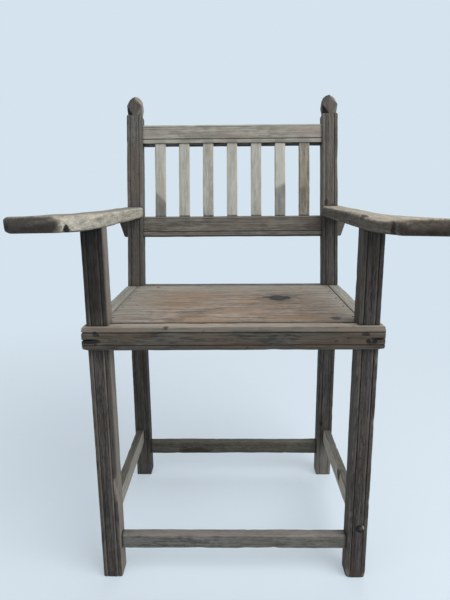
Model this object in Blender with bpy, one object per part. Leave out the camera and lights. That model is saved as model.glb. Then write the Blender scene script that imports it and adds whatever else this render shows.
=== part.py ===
"""Folk art armchair of weathered wood, built as separate joined pieces.

Run with: blender --background --python part.py
Units are metres and +Z is up. The sitter faces -Y.
The origin lies on the floor under the middle of the chair.
"""

import math

import bmesh
import bpy
from mathutils import Vector

# Fits
GAP = 0.0003  # air between two pieces that meet
OVERRUN = 0.002  # how far a cutter passes the face it opens, and a tenon is rooted in its own piece

# Legs and posts
LEG = 0.035  # side of the square stock
WIDTH = 0.478  # across the outsides of the legs
DEPTH = 0.339  # front of a front leg to front of a rear leg
ARRIS = 0.0015  # worn corner along the edges of the stock
FOOT_WEAR = 0.002  # worn edge under each foot
BEAD = 0.0078  # edge of a face to the middle of its scratched groove
GROOVE_WIDTH = 0.0024
GROOVE_DEPTH = 0.0014

# Rear posts above the seat
POST_RAKE = math.radians(11.55)
POST_RISE = 0.389  # bend to shoulder, along the post
FINIAL_WIDTH = 0.033
FINIAL_HEIGHT = 0.0444
FINIAL_CORNER = 0.0200  # shoulder to the finial's widest corners
FINIAL_BROW = 0.0328  # shoulder to the tops of the finial's upright faces
FINIAL_FLAT = 0.0062  # centre to corner of the flat on top

# Seat
SEAT_HEIGHT = 0.4785
SEAT_RAIL_HEIGHT = 0.038
RAIL_PROUD = 0.012  # front rail in front of the legs
RAIL_LAP = 0.018  # front rail let into the legs
RAIL_OVERHANG = 0.0065  # front rail past the outsides of the legs
RAIL_ROUND = 0.006  # worn upper edge of the front rail
RAIL_TOP_BEAD = 0.0085
RAIL_LOW_BEAD = 0.0085
SIDE_RAIL_THICKNESS = 0.026
SIDE_RAIL_PROUD = 0.004
SIDE_RAIL_ROUND = 0.003
REAR_RAIL_HEIGHT = 0.040
REAR_RAIL_THICKNESS = 0.022
REAR_RAIL_SETBACK = 0.006
BOARD_THICKNESS = 0.016
BOARD_GAP = 0.0006  # open joint beside each board
FRONT_BOARD = 0.1395
MIDDLE_BOARD = 0.0935
BOARD_REACH = 0.025  # rear board behind the fronts of the rear legs
CLEAT = 0.018  # side of the square strip under the board ends

# Back rails and slats, measured along the raked posts from the bend
TOP_RAIL_THICKNESS = 0.030
LOWER_RAIL_THICKNESS = 0.026
BACK_SETBACK = 0.005
BACK_BEAD = 0.010  # lower edge of a back rail to its groove
BACK_WORN_EDGE = 0.0035  # worn front upper edge of a back rail
TOP_RAIL_RISE = 0.3243
TOP_RAIL_HEIGHT = 0.0425
LOWER_RAIL_HEIGHT = 0.045
SLAT_COUNT = 7
SLAT_PITCH = 0.0547
SLAT_WIDTH = 0.024
SLAT_THICKNESS = 0.011
SLAT_SETBACK = 0.002
SLAT_TENON = 0.011

# Lower back rail where it passes through the posts to carry the arms
THROUGH_THICKNESS = 0.013
THROUGH_FOOT = 0.0095  # past the post at the lower edge
THROUGH_REACH = 0.0245  # past the post at the upper edge

# Arms
ARM_THICKNESS = 0.0235
ARM_RISE = 0.152  # seat to the arms' underside at the posts
ARM_SEATING = 0.0376  # arms' underside above the lower edge of the lower back rail
LEFT_ARM_LIFT = 0.0176  # rise for each metre towards the front
RIGHT_ARM_LIFT = 0.002  # the right arm is nearly level
ARM_OVERHANG = 0.1145  # front corner in front of the legs
ARM_SPREAD = 0.0755  # front corner past the outside of the legs
LEFT_HEEL_SPREAD = 0.036  # inner front corner past the inside of the legs
RIGHT_HEEL_SPREAD = 0.024
ARM_HEEL_BACK = 0.018  # inner front corner behind the outer one
ARM_INNER_TURN = 0.058  # front of the legs forward to where the inner edge turns out
ARM_OUTER_TURN = 0.023  # the same for the outer edge
ARM_FLARE_LENGTH = 0.10  # front of the legs back to where the outer edge runs straight
ARM_WAIST = 0.0075  # outer edge past the legs where the flare ends
ARM_TAIL = 0.0115  # outer edge past the posts at the rear
ARM_REACH = 0.027  # rear end behind the front of the posts
ARM_EDGE = 0.004  # rounding of the arm's edges
ARM_TOE_RADIUS = 0.006
ARM_HEEL_RADIUS = 0.006
ARM_NOTCH_WIDTH = 0.012
ARM_NOTCH_HEIGHT = 0.009
ARM_NOTCH_DEPTH = 0.007
HOUSING_ROOM = 0.070  # cutter above and below the arm where it wraps the post

# Stretchers
FRONT_STRETCHER_FLOOR = 0.0567
FRONT_STRETCHER_HEIGHT = 0.0265
REAR_STRETCHER_FLOOR = 0.0555
REAR_STRETCHER_HEIGHT = 0.0305
STRETCHER_THICKNESS = 0.019
STRETCHER_SETBACK = 0.006
SIDE_STRETCHER_FLOOR = 0.087
SIDE_STRETCHER_HEIGHT = 0.034
SIDE_STRETCHER_THICKNESS = 0.017
SIDE_STRETCHER_SETBACK = 0.0035

# Joints
TENON_LENGTH = 0.018
TENON_THICKNESS = 0.010
TENON_SHOULDER = 0.004  # taken off above and below a tenon
SEAT_TENON_LENGTH = 0.011  # side seat rails, clear of the other joints in the leg
LEG_TENON = 0.018  # side of the square tenon on a front leg
LEG_TENON_HEIGHT = 0.014
ARM_TENON_WIDTH = 0.014
ARM_TENON_HEIGHT = 0.010
ARM_TENON_LENGTH = 0.014
ROUND_TENON = 0.011  # diameter, where a side stretcher passes through a front leg
ROUND_TENON_PROUD = 0.0015  # right leg, where its end shows
ROUND_TENON_STOP = 0.006  # left leg, where it stops short of the front
PEG_DIAMETER = 0.007
PEG_STOP = 0.007  # wood left in front of a peg's end

# Nails
NAIL_DIAMETER = 0.003
NAIL_HEAD = 0.0075
NAIL_HEAD_THICKNESS = 0.0015
NAIL_EDGE = 0.022  # nail to the edge of its board
BOARD_NAIL_LENGTH = 0.030
RAIL_NAIL_LENGTH = 0.041
RAIL_NAIL_INSET = 0.014  # upper nail to the inside of the leg
RAIL_NAIL_STEP = 0.0045  # lower nail further out
RAIL_NAIL_RISE = 0.0075  # nail above and below the middle of the rail
ARM_NAIL_LENGTH = 0.036

# Facets
ROUND_SIDES = 12
CURVE_STEPS = 7
CORNER_STEPS = 5
EDGE_STEPS = 2  # along the rounding of an arm's edges
SHARP_TURN = math.radians(40)  # a round piece's edge is crisp above this
EDGE_TURN = math.radians(50)  # an arm's edge is rounded above this

# Places that follow from the sizes above
INSIDE = WIDTH / 2 - LEG
OUTSIDE = WIDTH / 2
LEG_CENTRE = WIDTH / 2 - LEG / 2
SPAN = 2 * (INSIDE - GAP)
SIDE_SPAN = DEPTH - LEG - 2 * GAP
SIDE_MIDDLE = (LEG + DEPTH) / 2
SEAT_RAIL_FLOOR = SEAT_HEIGHT - SEAT_RAIL_HEIGHT
SIDE_RAIL_OUTSIDE = OUTSIDE + SIDE_RAIL_PROUD
SIDE_RAIL_INSIDE = SIDE_RAIL_OUTSIDE - SIDE_RAIL_THICKNESS
BOARD_FLOOR = SEAT_HEIGHT - BOARD_THICKNESS
BOARD_HALF = SIDE_RAIL_INSIDE - BOARD_GAP
BACK_FACE = DEPTH + LEG
ARM_HEIGHT = SEAT_HEIGHT + ARM_RISE
ARM_POST = DEPTH + ARM_RISE * math.tan(POST_RAKE)
LOWER_RAIL_RISE = ARM_RISE - ARM_SEATING
ARM_LIFT = {-1: LEFT_ARM_LIFT, 1: RIGHT_ARM_LIFT}
HEEL_SPREAD = {-1: LEFT_HEEL_SPREAD, 1: RIGHT_HEEL_SPREAD}

MATERIALS = {
    "leg_wood": ((0.060, 0.055, 0.050), 0.80, 0.0),
    "rail_wood": ((0.120, 0.108, 0.095), 0.80, 0.0),
    "seat_wood": ((0.300, 0.230, 0.170), 0.75, 0.0),
    "back_wood": ((0.250, 0.230, 0.200), 0.80, 0.0),
    "slat_wood": ((0.330, 0.300, 0.250), 0.80, 0.0),
    "arm_wood": ((0.300, 0.260, 0.210), 0.75, 0.0),
    "stretcher_wood": ((0.200, 0.185, 0.160), 0.80, 0.0),
    "hidden_wood": ((0.350, 0.270, 0.180), 0.80, 0.0),
    "nail_iron": ((0.060, 0.045, 0.038), 0.70, 0.8),
}


def make_materials():
    """Return one plain Principled material for each finish."""
    made = {}
    for name, (colour, roughness, metallic) in MATERIALS.items():
        material = bpy.data.materials.new(name)
        material.use_nodes = True
        shader = material.node_tree.nodes["Principled BSDF"]
        shader.inputs["Base Color"].default_value = (*colour, 1.0)
        shader.inputs["Roughness"].default_value = roughness
        shader.inputs["Metallic"].default_value = metallic
        made[name] = material
    return made


def loft(name, rings):
    """Return a mesh through rings of matching points, closed at both ends."""
    mesh = bpy.data.meshes.new(name)
    bm = bmesh.new()
    loops = [[bm.verts.new(point) for point in ring] for ring in rings]
    count = len(rings[0])
    for low, high in zip(loops, loops[1:]):
        for i in range(count):
            j = (i + 1) % count
            bm.faces.new((low[i], low[j], high[j], high[i]))
    bm.faces.new(loops[0])
    bm.faces.new(loops[-1])
    bmesh.ops.recalc_face_normals(bm, faces=bm.faces)
    bm.to_mesh(mesh)
    bm.free()
    return mesh


def hull(name, points):
    """Return the mesh of the smallest convex solid round the points."""
    mesh = bpy.data.meshes.new(name)
    bm = bmesh.new()
    for point in points:
        bm.verts.new(point)
    bmesh.ops.convex_hull(bm, input=bm.verts)
    bmesh.ops.recalc_face_normals(bm, faces=bm.faces)
    bm.to_mesh(mesh)
    bm.free()
    return mesh


def box(name, low, high):
    """Return a box between two corners."""
    outline = ((low[0], low[1]), (high[0], low[1]), (high[0], high[1]), (low[0], high[1]))
    return loft(name, [[(x, y, z) for x, y in outline] for z in (low[2], high[2])])


def beam(name, section, length):
    """Return a bar along local X, with its show face towards local -Y, from a (y, z) section."""
    return loft(name, [[(x, y, z) for y, z in section] for x in (-length / 2, length / 2)])


def turned(name, profile):
    """Return a round solid about local Z from (radius, z) steps."""
    angles = [2 * math.pi * i / ROUND_SIDES for i in range(ROUND_SIDES)]
    rings = [[(r * math.cos(a), r * math.sin(a), z) for a in angles] for r, z in profile]
    mesh = loft(name, rings)
    mesh.shade_smooth()
    mesh.set_sharp_from_angle(angle=SHARP_TURN)
    return mesh


def place(name, mesh, material, parent, location=(0, 0, 0), rotation=(0, 0, 0)):
    """Add one sub-part to the scene."""
    piece = bpy.data.objects.new(name, mesh)
    piece.parent = parent
    piece.location = location
    piece.rotation_euler = rotation
    if not mesh.materials:
        mesh.materials.append(material)
    bpy.context.collection.objects.link(piece)
    return piece


def frame_empty(name, parent=None, location=(0, 0, 0), rotation=(0, 0, 0)):
    """Add an empty that carries the pieces of one frame."""
    empty = bpy.data.objects.new(name, None)
    empty.parent = parent
    empty.location = location
    empty.rotation_euler = rotation
    bpy.context.collection.objects.link(empty)
    return empty


def combine(piece, operation, mesh, parent, location=(0, 0, 0), rotation=(0, 0, 0)):
    """Add to or cut from a piece with a hidden tool that rides on parent."""
    helper = bpy.data.objects.new(mesh.name, mesh)
    helper.parent = parent
    helper.location = location
    helper.rotation_euler = rotation
    helper.hide_render = True
    helper.display_type = "WIRE"
    bpy.context.collection.objects.link(helper)
    modifier = piece.modifiers.new(mesh.name, "BOOLEAN")
    modifier.solver = "EXACT"
    modifier.operation = operation
    modifier.object = helper


def weld(piece, mesh, parent, location=(0, 0, 0), rotation=(0, 0, 0)):
    """Join a shape to a piece as one body."""
    combine(piece, "UNION", mesh, parent, location, rotation)


def carve(piece, mesh, parent, location=(0, 0, 0), rotation=(0, 0, 0)):
    """Cut a shape out of a piece."""
    combine(piece, "DIFFERENCE", mesh, parent, location, rotation)


def tenon(piece, host, low, high):
    """Give a piece a box tenon, in the piece's own frame, and cut its mortise in the host."""
    name = piece.name + "_tenon"
    weld(piece, box(name, low, high), piece)
    loose_low = [value - GAP for value in low]
    loose_high = [value + GAP for value in high]
    carve(host, box(name + "_mortise", loose_low, loose_high), piece)


def end_tenon(piece, host, end, half, length, thickness, low, high, middle):
    """Tenon one end of a beam: end is -1 or 1, and the tenon lies about middle in local Y."""
    near = end * (half - OVERRUN)
    far = end * (half + length)
    y_low = middle - thickness / 2
    y_high = middle + thickness / 2
    tenon(piece, host, (min(near, far), y_low, low), (max(near, far), y_high, high))


def peg(name, material, parent, location, rotation, length, held):
    """Drive a peg along its local -Z from a face, through every piece that it holds."""
    radius = PEG_DIAMETER / 2
    shape = turned("peg", [(radius, -length), (radius, 0)])
    place(name, shape, material, parent, location, rotation)
    hole = turned("peg_hole", [(radius + GAP, -length - GAP), (radius + GAP, OVERRUN)])
    for piece in held:
        carve(piece, hole, parent, location, rotation)


def nail_mesh(name, length, loose, above):
    """Return a nail down local -Z with its head's top at above, made larger all round by loose."""
    shank = NAIL_DIAMETER / 2 + loose
    head = NAIL_HEAD / 2 + loose
    under = -NAIL_HEAD_THICKNESS - loose
    tip = -length - loose
    return turned(name, [(shank, tip), (shank, under), (head, under), (head, above)])


def nail(name, material, parent, location, rotation, length, held):
    """Drive a nail along its local -Z, head flush, through every piece that it holds."""
    place(name, nail_mesh("nail", length, 0, 0), material, parent, location, rotation)
    hole = nail_mesh("nail_hole", length, GAP, OVERRUN)
    for piece in held:
        carve(piece, hole, parent, location, rotation)


def groove(along, face):
    """Return the three points of a scratched groove about a place on a face, as (along, depth)."""
    half = GROOVE_WIDTH / 2
    return [(along - half, face), (along, face + GROOVE_DEPTH), (along + half, face)]


def quarter(centre, radius, start):
    """Return points of a quarter circle that turns from start, in radians, by minus a right angle."""
    turns = [start - math.pi / 2 * i / CORNER_STEPS for i in range(CORNER_STEPS + 1)]
    return [(centre[0] + radius * math.cos(t), centre[1] + radius * math.sin(t)) for t in turns]


def quadratic(start, pull, end):
    """Return points along a curve from start to end that leans towards pull."""
    points = []
    for i in range(CURVE_STEPS + 1):
        t = i / CURVE_STEPS
        points.append(start * (1 - t) ** 2 + pull * 2 * t * (1 - t) + end * t**2)
    return points


def rounded(before, corner, after, radius):
    """Return an arc in place of a corner between two neighbouring points."""
    one = (before - corner).normalized()
    two = (after - corner).normalized()
    half = one.angle(two) / 2
    middle = corner + (one + two).normalized() * radius / math.sin(half)
    reach = radius / math.tan(half)
    start = corner + one * reach - middle
    end = corner + two * reach - middle
    sweep = start.angle(end)
    points = []
    for i in range(CORNER_STEPS + 1):
        t = i / CORNER_STEPS
        mixed = start * math.sin((1 - t) * sweep) + end * math.sin(t * sweep)
        points.append(middle + mixed / math.sin(sweep))
    return points


def leg_section(inset=0.0):
    """Return the leg's outline, centred on X with its front face at y = 0, shrunk all round by inset."""
    half = LEG / 2
    points = [(-half + ARRIS, 0)]
    points += groove(-half + BEAD, 0)
    points += groove(half - BEAD, 0)
    points += [(half - ARRIS, 0), (half, ARRIS), (half, LEG - ARRIS), (half - ARRIS, LEG)]
    points += [(-half + ARRIS, LEG), (-half, LEG - ARRIS), (-half, ARRIS)]
    scale = 1 - 2 * inset / LEG
    return [(x * scale, half + (y - half) * scale) for x, y in points]


def arm_underside(side, y):
    """Return the height of an arm's underside at a distance behind the front of the front legs."""
    return ARM_HEIGHT + ARM_LIFT[side] * (ARM_POST - y)


def post_front(height):
    """Return how far back the front face of the raked posts lies at a height."""
    return DEPTH + (height - SEAT_HEIGHT) * math.tan(POST_RAKE)


def front_leg(name, side, material, chair):
    """Make a front leg, cut for the front rail, with a tenon that enters the arm."""
    section = leg_section()
    worn = leg_section(FOOT_WEAR)
    rings = [
        [(x, y, 0) for x, y in worn],
        [(x, y, FOOT_WEAR) for x, y in section],
        [(x, y, arm_underside(side, y) - GAP) for x, y in section],
    ]
    leg = place(name, loft(name, rings), material, chair, (side * LEG_CENTRE, 0, 0))
    wide = LEG / 2 + OVERRUN
    low = (-wide, -OVERRUN, SEAT_RAIL_FLOOR - GAP)
    high = (wide, RAIL_LAP + GAP, SEAT_HEIGHT + GAP)
    carve(leg, box("front_rail_lap", low, high), leg)
    return leg


def finial_points():
    """Return the corners of a finial that stands on z = 0, with its root below."""
    half = FINIAL_WIDTH / 2
    points = []
    for x, y in ((1, 0), (0, 1), (-1, 0), (0, -1)):
        points.append((x * half, y * half, 0))
        points.append((x * half, y * half, FINIAL_BROW))
        points.append((x * FINIAL_FLAT, y * FINIAL_FLAT, FINIAL_HEIGHT))
        points.append(((x - y) * half, (x + y) * half, FINIAL_CORNER))
    return points


def rear_leg(name, side, material, chair, back):
    """Make a rear leg: upright to the seat, then raked, with a carved finial on top."""
    section = leg_section()
    worn = leg_section(FOOT_WEAR)
    capped = leg_section(ARRIS)
    lean = math.tan(POST_RAKE / 2)

    def raked(x, depth, along):
        y = along * math.sin(POST_RAKE) + depth * math.cos(POST_RAKE)
        z = SEAT_HEIGHT + along * math.cos(POST_RAKE) - depth * math.sin(POST_RAKE)
        return (x, y, z)

    rings = [
        [(x, y, 0) for x, y in worn],
        [(x, y, FOOT_WEAR) for x, y in section],
        [(x, y, SEAT_HEIGHT - y * lean) for x, y in section],
        [raked(x, y, POST_RISE - ARRIS) for x, y in section],
        [raked(x, y, POST_RISE) for x, y in capped],
    ]
    leg = place(name, loft(name, rings), material, chair, (side * LEG_CENTRE, DEPTH, 0))
    root = [(x, y, z - OVERRUN) for x, y, z in finial_points() if z == 0]
    top = (side * LEG_CENTRE, LEG / 2, POST_RISE)
    weld(leg, hull("finial", finial_points() + root), back, top)
    return leg


def front_rail_section():
    """Return the front seat rail's outline: beads above and below, and a worn upper edge."""
    front = -RAIL_PROUD
    top = SEAT_RAIL_HEIGHT
    points = [(RAIL_LAP, 0), (front + ARRIS, 0), (front, ARRIS)]
    points += [(y, z) for z, y in groove(RAIL_LOW_BEAD, front)]
    points += [(y, z) for z, y in groove(top - RAIL_TOP_BEAD, front)]
    points += quarter((front + RAIL_ROUND, top - RAIL_ROUND), RAIL_ROUND, math.pi)
    points.append((RAIL_LAP, top))
    return points


def side_rail_section():
    """Return a side seat rail's outline, with its outer face at y = 0."""
    top = SEAT_RAIL_HEIGHT
    points = [(SIDE_RAIL_THICKNESS, 0), (ARRIS, 0), (0, ARRIS)]
    points += quarter((SIDE_RAIL_ROUND, top - SIDE_RAIL_ROUND), SIDE_RAIL_ROUND, math.pi)
    points.append((SIDE_RAIL_THICKNESS, top))
    return points


def plain_section(thickness, height):
    """Return a bar's outline with worn edges, its front face at y = 0 and its lower face at z = 0."""
    corners = [(thickness - ARRIS, 0), (ARRIS, 0), (0, ARRIS), (0, height - ARRIS)]
    corners += [(ARRIS, height), (thickness - ARRIS, height)]
    corners += [(thickness, height - ARRIS), (thickness, ARRIS)]
    return corners


def back_rail_section(thickness, height):
    """Return a back rail's outline: a groove near the lower edge and a worn upper edge."""
    points = [(thickness - ARRIS, 0), (ARRIS, 0), (0, ARRIS)]
    points += [(y, z) for z, y in groove(BACK_BEAD, 0)]
    points += [(0, height - BACK_WORN_EDGE), (BACK_WORN_EDGE, height), (thickness - ARRIS, height)]
    points += [(thickness, height - ARRIS), (thickness, ARRIS)]
    return points


def make_seat_frame(woods, chair, legs):
    """Make the four seat rails and the cleats, joined to the legs."""
    rail = beam("front_seat_rail", front_rail_section(), WIDTH + 2 * RAIL_OVERHANG)
    front = place("front_seat_rail", rail, woods["rail_wood"], chair, (0, 0, SEAT_RAIL_FLOOR))

    floor = BOARD_FLOOR - GAP - REAR_RAIL_HEIGHT
    section = plain_section(REAR_RAIL_THICKNESS, REAR_RAIL_HEIGHT)
    spot = (0, DEPTH + REAR_RAIL_SETBACK, floor)
    rear = place("rear_seat_rail", beam("rear_seat_rail", section, SPAN), woods["rail_wood"], chair, spot)
    tenon_low = TENON_SHOULDER
    tenon_high = REAR_RAIL_HEIGHT - TENON_SHOULDER
    for side, label in ((-1, "left"), (1, "right")):
        host = legs["rear", side]
        middle = REAR_RAIL_THICKNESS / 2
        end_tenon(rear, host, side, SPAN / 2, TENON_LENGTH, TENON_THICKNESS, tenon_low, tenon_high, middle)
        place_peg = (side * (INSIDE + TENON_LENGTH / 2), BACK_FACE, floor + REAR_RAIL_HEIGHT / 2)
        name = "rear_seat_rail_peg_" + label
        turn = (-math.pi / 2, 0, 0)
        peg(name, woods["hidden_wood"], chair, place_peg, turn, LEG - PEG_STOP, (host, rear))

    cleats = {}
    for side, label in ((-1, "left"), (1, "right")):
        name = "side_seat_rail_" + label
        spot = (side * SIDE_RAIL_OUTSIDE, SIDE_MIDDLE, SEAT_RAIL_FLOOR)
        turn = (0, 0, side * math.pi / 2)
        shape = beam(name, side_rail_section(), SIDE_SPAN)
        rail = place(name, shape, woods["rail_wood"], chair, spot, turn)
        middle = SIDE_RAIL_THICKNESS / 2
        tenon_high = SEAT_RAIL_HEIGHT - TENON_SHOULDER
        for row, end, joint in (("front", -side, LEG), ("rear", side, DEPTH)):
            host = legs[row, side]
            sizes = (SEAT_TENON_LENGTH, TENON_THICKNESS, TENON_SHOULDER, tenon_high, middle)
            end_tenon(rail, host, end, SIDE_SPAN / 2, *sizes)
            into = -1 if row == "front" else 1
            across = joint + into * SEAT_TENON_LENGTH / 2
            place_peg = (side * OUTSIDE, across, SEAT_RAIL_FLOOR + SEAT_RAIL_HEIGHT / 2)
            peg_name = "side_seat_rail_peg_" + label + "_" + row
            turn_peg = (0, side * math.pi / 2, 0)
            peg(peg_name, woods["hidden_wood"], chair, place_peg, turn_peg, LEG - PEG_STOP, (host, rail))
        name = "seat_cleat_" + label
        strip = beam(name, plain_section(CLEAT, CLEAT), SIDE_SPAN)
        spot = (side * (SIDE_RAIL_INSIDE - GAP), SIDE_MIDDLE, BOARD_FLOOR - GAP - CLEAT)
        cleats[side] = place(name, strip, woods["hidden_wood"], chair, spot, turn)

        nail_spots = (
            (1, RAIL_NAIL_RISE, RAIL_NAIL_INSET),
            (2, -RAIL_NAIL_RISE, RAIL_NAIL_INSET + RAIL_NAIL_STEP),
        )
        for level, lift, inset in nail_spots:
            height = SEAT_RAIL_FLOOR + SEAT_RAIL_HEIGHT / 2 + lift
            spot = (side * (INSIDE + inset), -RAIL_PROUD, height)
            nail_name = f"front_seat_rail_nail_{label}_{level}"
            turn_nail = (math.pi / 2, 0, 0)
            held = (front, legs["front", side])
            nail(nail_name, woods["nail_iron"], chair, spot, turn_nail, RAIL_NAIL_LENGTH, held)
    return cleats


def make_seat_boards(woods, chair, cleats):
    """Make the three seat boards, notched round the legs and nailed to the cleats."""
    front_start = RAIL_LAP + BOARD_GAP
    front_end = front_start + FRONT_BOARD
    middle_start = front_end + BOARD_GAP
    middle_end = middle_start + MIDDLE_BOARD
    rear_start = middle_end + BOARD_GAP
    rear_end = DEPTH + BOARD_REACH
    nail_rows = {
        "front": (LEG + NAIL_EDGE, front_end - NAIL_EDGE),
        "middle": ((middle_start + middle_end) / 2,),
        "rear": (rear_start + NAIL_EDGE, DEPTH - NAIL_EDGE),
    }
    boards = (
        ("front", front_start, front_end),
        ("middle", middle_start, middle_end),
        ("rear", rear_start, rear_end),
    )
    for label, start, end in boards:
        name = "seat_board_" + label
        shape = box(name, (-BOARD_HALF, 0, 0), (BOARD_HALF, end - start, BOARD_THICKNESS))
        board = place(name, shape, woods["seat_wood"], chair, (0, start, BOARD_FLOOR))
        for side, hand in ((-1, "left"), (1, "right")):
            if label == "front":
                notch_board(board, chair, side, start - OVERRUN, LEG + BOARD_GAP)
            if label == "rear":
                notch_board(board, chair, side, DEPTH - BOARD_GAP, end + OVERRUN)
            for number, row in enumerate(nail_rows[label], 1):
                spot = (side * (SIDE_RAIL_INSIDE - CLEAT / 2), row, SEAT_HEIGHT)
                nail_name = f"seat_nail_{label}_{hand}_{number}"
                held = (board, cleats[side])
                nail(nail_name, woods["nail_iron"], chair, spot, (0, 0, 0), BOARD_NAIL_LENGTH, held)


def notch_board(board, chair, side, start, end):
    """Cut a board away where a leg stands in its corner."""
    near = side * (INSIDE - BOARD_GAP)
    far = side * (BOARD_HALF + OVERRUN)
    low = (min(near, far), start, BOARD_FLOOR - OVERRUN)
    high = (max(near, far), end, SEAT_HEIGHT + OVERRUN)
    carve(board, box("leg_notch", low, high), chair)


def make_stretchers(woods, chair, legs):
    """Make the four stretchers, tenoned and pegged into the legs."""
    rows = (
        ("front", 0, LEG, FRONT_STRETCHER_FLOOR, FRONT_STRETCHER_HEIGHT),
        ("rear", DEPTH, BACK_FACE, REAR_STRETCHER_FLOOR, REAR_STRETCHER_HEIGHT),
    )
    for row, front, back, floor, height in rows:
        name = "stretcher_" + row
        section = plain_section(STRETCHER_THICKNESS, height)
        spot = (0, front + STRETCHER_SETBACK, floor)
        bar = place(name, beam(name, section, SPAN), woods["stretcher_wood"], chair, spot)
        tenon_high = height - TENON_SHOULDER
        middle = STRETCHER_THICKNESS / 2
        sizes = (TENON_LENGTH, TENON_THICKNESS, TENON_SHOULDER, tenon_high, middle)
        for side, label in ((-1, "left"), (1, "right")):
            host = legs[row, side]
            end_tenon(bar, host, side, SPAN / 2, *sizes)
            spot = (side * (INSIDE + TENON_LENGTH / 2), back, floor + height / 2)
            peg_name = name + "_peg_" + label
            turn = (-math.pi / 2, 0, 0)
            peg(peg_name, woods["hidden_wood"], chair, spot, turn, LEG - PEG_STOP, (host, bar))

    for side, label in ((-1, "left"), (1, "right")):
        name = "stretcher_" + label
        section = plain_section(SIDE_STRETCHER_THICKNESS, SIDE_STRETCHER_HEIGHT)
        spot = (side * (OUTSIDE - SIDE_STRETCHER_SETBACK), SIDE_MIDDLE, SIDE_STRETCHER_FLOOR)
        turn = (0, 0, side * math.pi / 2)
        bar = place(name, beam(name, section, SIDE_SPAN), woods["stretcher_wood"], chair, spot, turn)
        middle = SIDE_STRETCHER_THICKNESS / 2
        tenon_high = SIDE_STRETCHER_HEIGHT - TENON_SHOULDER
        host = legs["rear", side]
        sizes = (TENON_LENGTH, TENON_THICKNESS, TENON_SHOULDER, tenon_high, middle)
        end_tenon(bar, host, side, SIDE_SPAN / 2, *sizes)
        height = SIDE_STRETCHER_FLOOR + SIDE_STRETCHER_HEIGHT / 2
        spot = (side * OUTSIDE, DEPTH + TENON_LENGTH / 2, height)
        turn_peg = (0, side * math.pi / 2, 0)
        peg(name + "_peg", woods["hidden_wood"], chair, spot, turn_peg, LEG - PEG_STOP, (host, bar))

        radius = ROUND_TENON / 2
        root = LEG + GAP + OVERRUN
        spot = (side * (OUTSIDE - SIDE_STRETCHER_SETBACK - middle), 0, height)
        turn_round = (-math.pi / 2, 0, 0)
        start = -ROUND_TENON_PROUD if side > 0 else ROUND_TENON_STOP
        mouth = -OVERRUN if side > 0 else ROUND_TENON_STOP - GAP
        shape = turned("round_tenon", [(radius, start), (radius, root)])
        weld(bar, shape, chair, spot, turn_round)
        hole = turned("round_mortise", [(radius + GAP, mouth), (radius + GAP, root + OVERRUN)])
        carve(legs["front", side], hole, chair, spot, turn_round)


def make_back(woods, back, legs):
    """Make the two back rails and the slats in the raked frame of the posts."""
    rise = LOWER_RAIL_RISE
    section = back_rail_section(LOWER_RAIL_THICKNESS, LOWER_RAIL_HEIGHT)
    shape = beam("back_lower_rail", section, SPAN)
    lower = place("back_lower_rail", shape, woods["rail_wood"], back, (0, BACK_SETBACK, rise))
    rise = TOP_RAIL_RISE
    section = back_rail_section(TOP_RAIL_THICKNESS, TOP_RAIL_HEIGHT)
    shape = beam("back_top_rail", section, SPAN)
    top = place("back_top_rail", shape, woods["back_wood"], back, (0, BACK_SETBACK, rise))

    middle = TOP_RAIL_THICKNESS / 2
    tenon_high = TOP_RAIL_HEIGHT - TENON_SHOULDER
    sizes = (TENON_LENGTH, TENON_THICKNESS, TENON_SHOULDER, tenon_high, middle)
    for side, label in ((-1, "left"), (1, "right")):
        host = legs["rear", side]
        end_tenon(top, host, side, SPAN / 2, *sizes)
        spot = (side * (INSIDE + TENON_LENGTH / 2), LEG, rise + TOP_RAIL_HEIGHT / 2)
        turn = (-math.pi / 2, 0, 0)
        name = "back_top_rail_peg_" + label
        peg(name, woods["hidden_wood"], back, spot, turn, LEG - PEG_STOP, (host, top))
        through_tenon(lower, host, side)

    low = LOWER_RAIL_RISE + LOWER_RAIL_HEIGHT - SLAT_TENON
    high = TOP_RAIL_RISE + SLAT_TENON
    face = BACK_SETBACK + SLAT_SETBACK
    outline = slat_outline(0)
    slat = loft("back_slat", [[(x, y, z) for x, y in outline] for z in (0, high - low)])
    loose = slat_outline(GAP)
    room = loft("slat_mortise", [[(x, y, z) for x, y in loose] for z in (-GAP, high - low + GAP)])
    for number in range(SLAT_COUNT):
        across = (number - (SLAT_COUNT - 1) / 2) * SLAT_PITCH
        spot = (across, face, low)
        place(f"back_slat_{number + 1}", slat, woods["slat_wood"], back, spot)
        carve(lower, room, back, spot)
        carve(top, room, back, spot)
    return lower


def slat_outline(loose):
    """Return a slat's outline with its front face at y = 0, made larger all round by loose."""
    half = SLAT_WIDTH / 2 + loose
    back = SLAT_THICKNESS + loose
    points = [(-half + ARRIS, -loose), (half - ARRIS, -loose), (half, ARRIS - loose), (half, back - ARRIS)]
    points += [(half - ARRIS, back), (-half + ARRIS, back), (-half, back - ARRIS), (-half, ARRIS - loose)]
    return points


def through_tenon(rail, post, side):
    """Carry the lower back rail through a post to a slanted end outside it."""
    start = side * (INSIDE - GAP - OVERRUN)
    top = LOWER_RAIL_HEIGHT
    foot = side * (OUTSIDE + THROUGH_FOOT)
    reach = side * (OUTSIDE + THROUGH_REACH)
    front = (LOWER_RAIL_THICKNESS - THROUGH_THICKNESS) / 2
    faces = (front, front + THROUGH_THICKNESS)
    outline = ((start, 0), (foot, 0), (reach, top), (start, top))
    weld(rail, loft("through_tenon", [[(x, y, z) for x, z in outline] for y in faces]), rail)
    near = side * (INSIDE - OVERRUN)
    far = side * (OUTSIDE + OVERRUN)
    low = (min(near, far), front - GAP, -GAP)
    high = (max(near, far), front + THROUGH_THICKNESS + GAP, top + GAP)
    carve(post, box("through_mortise", low, high), rail)


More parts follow.
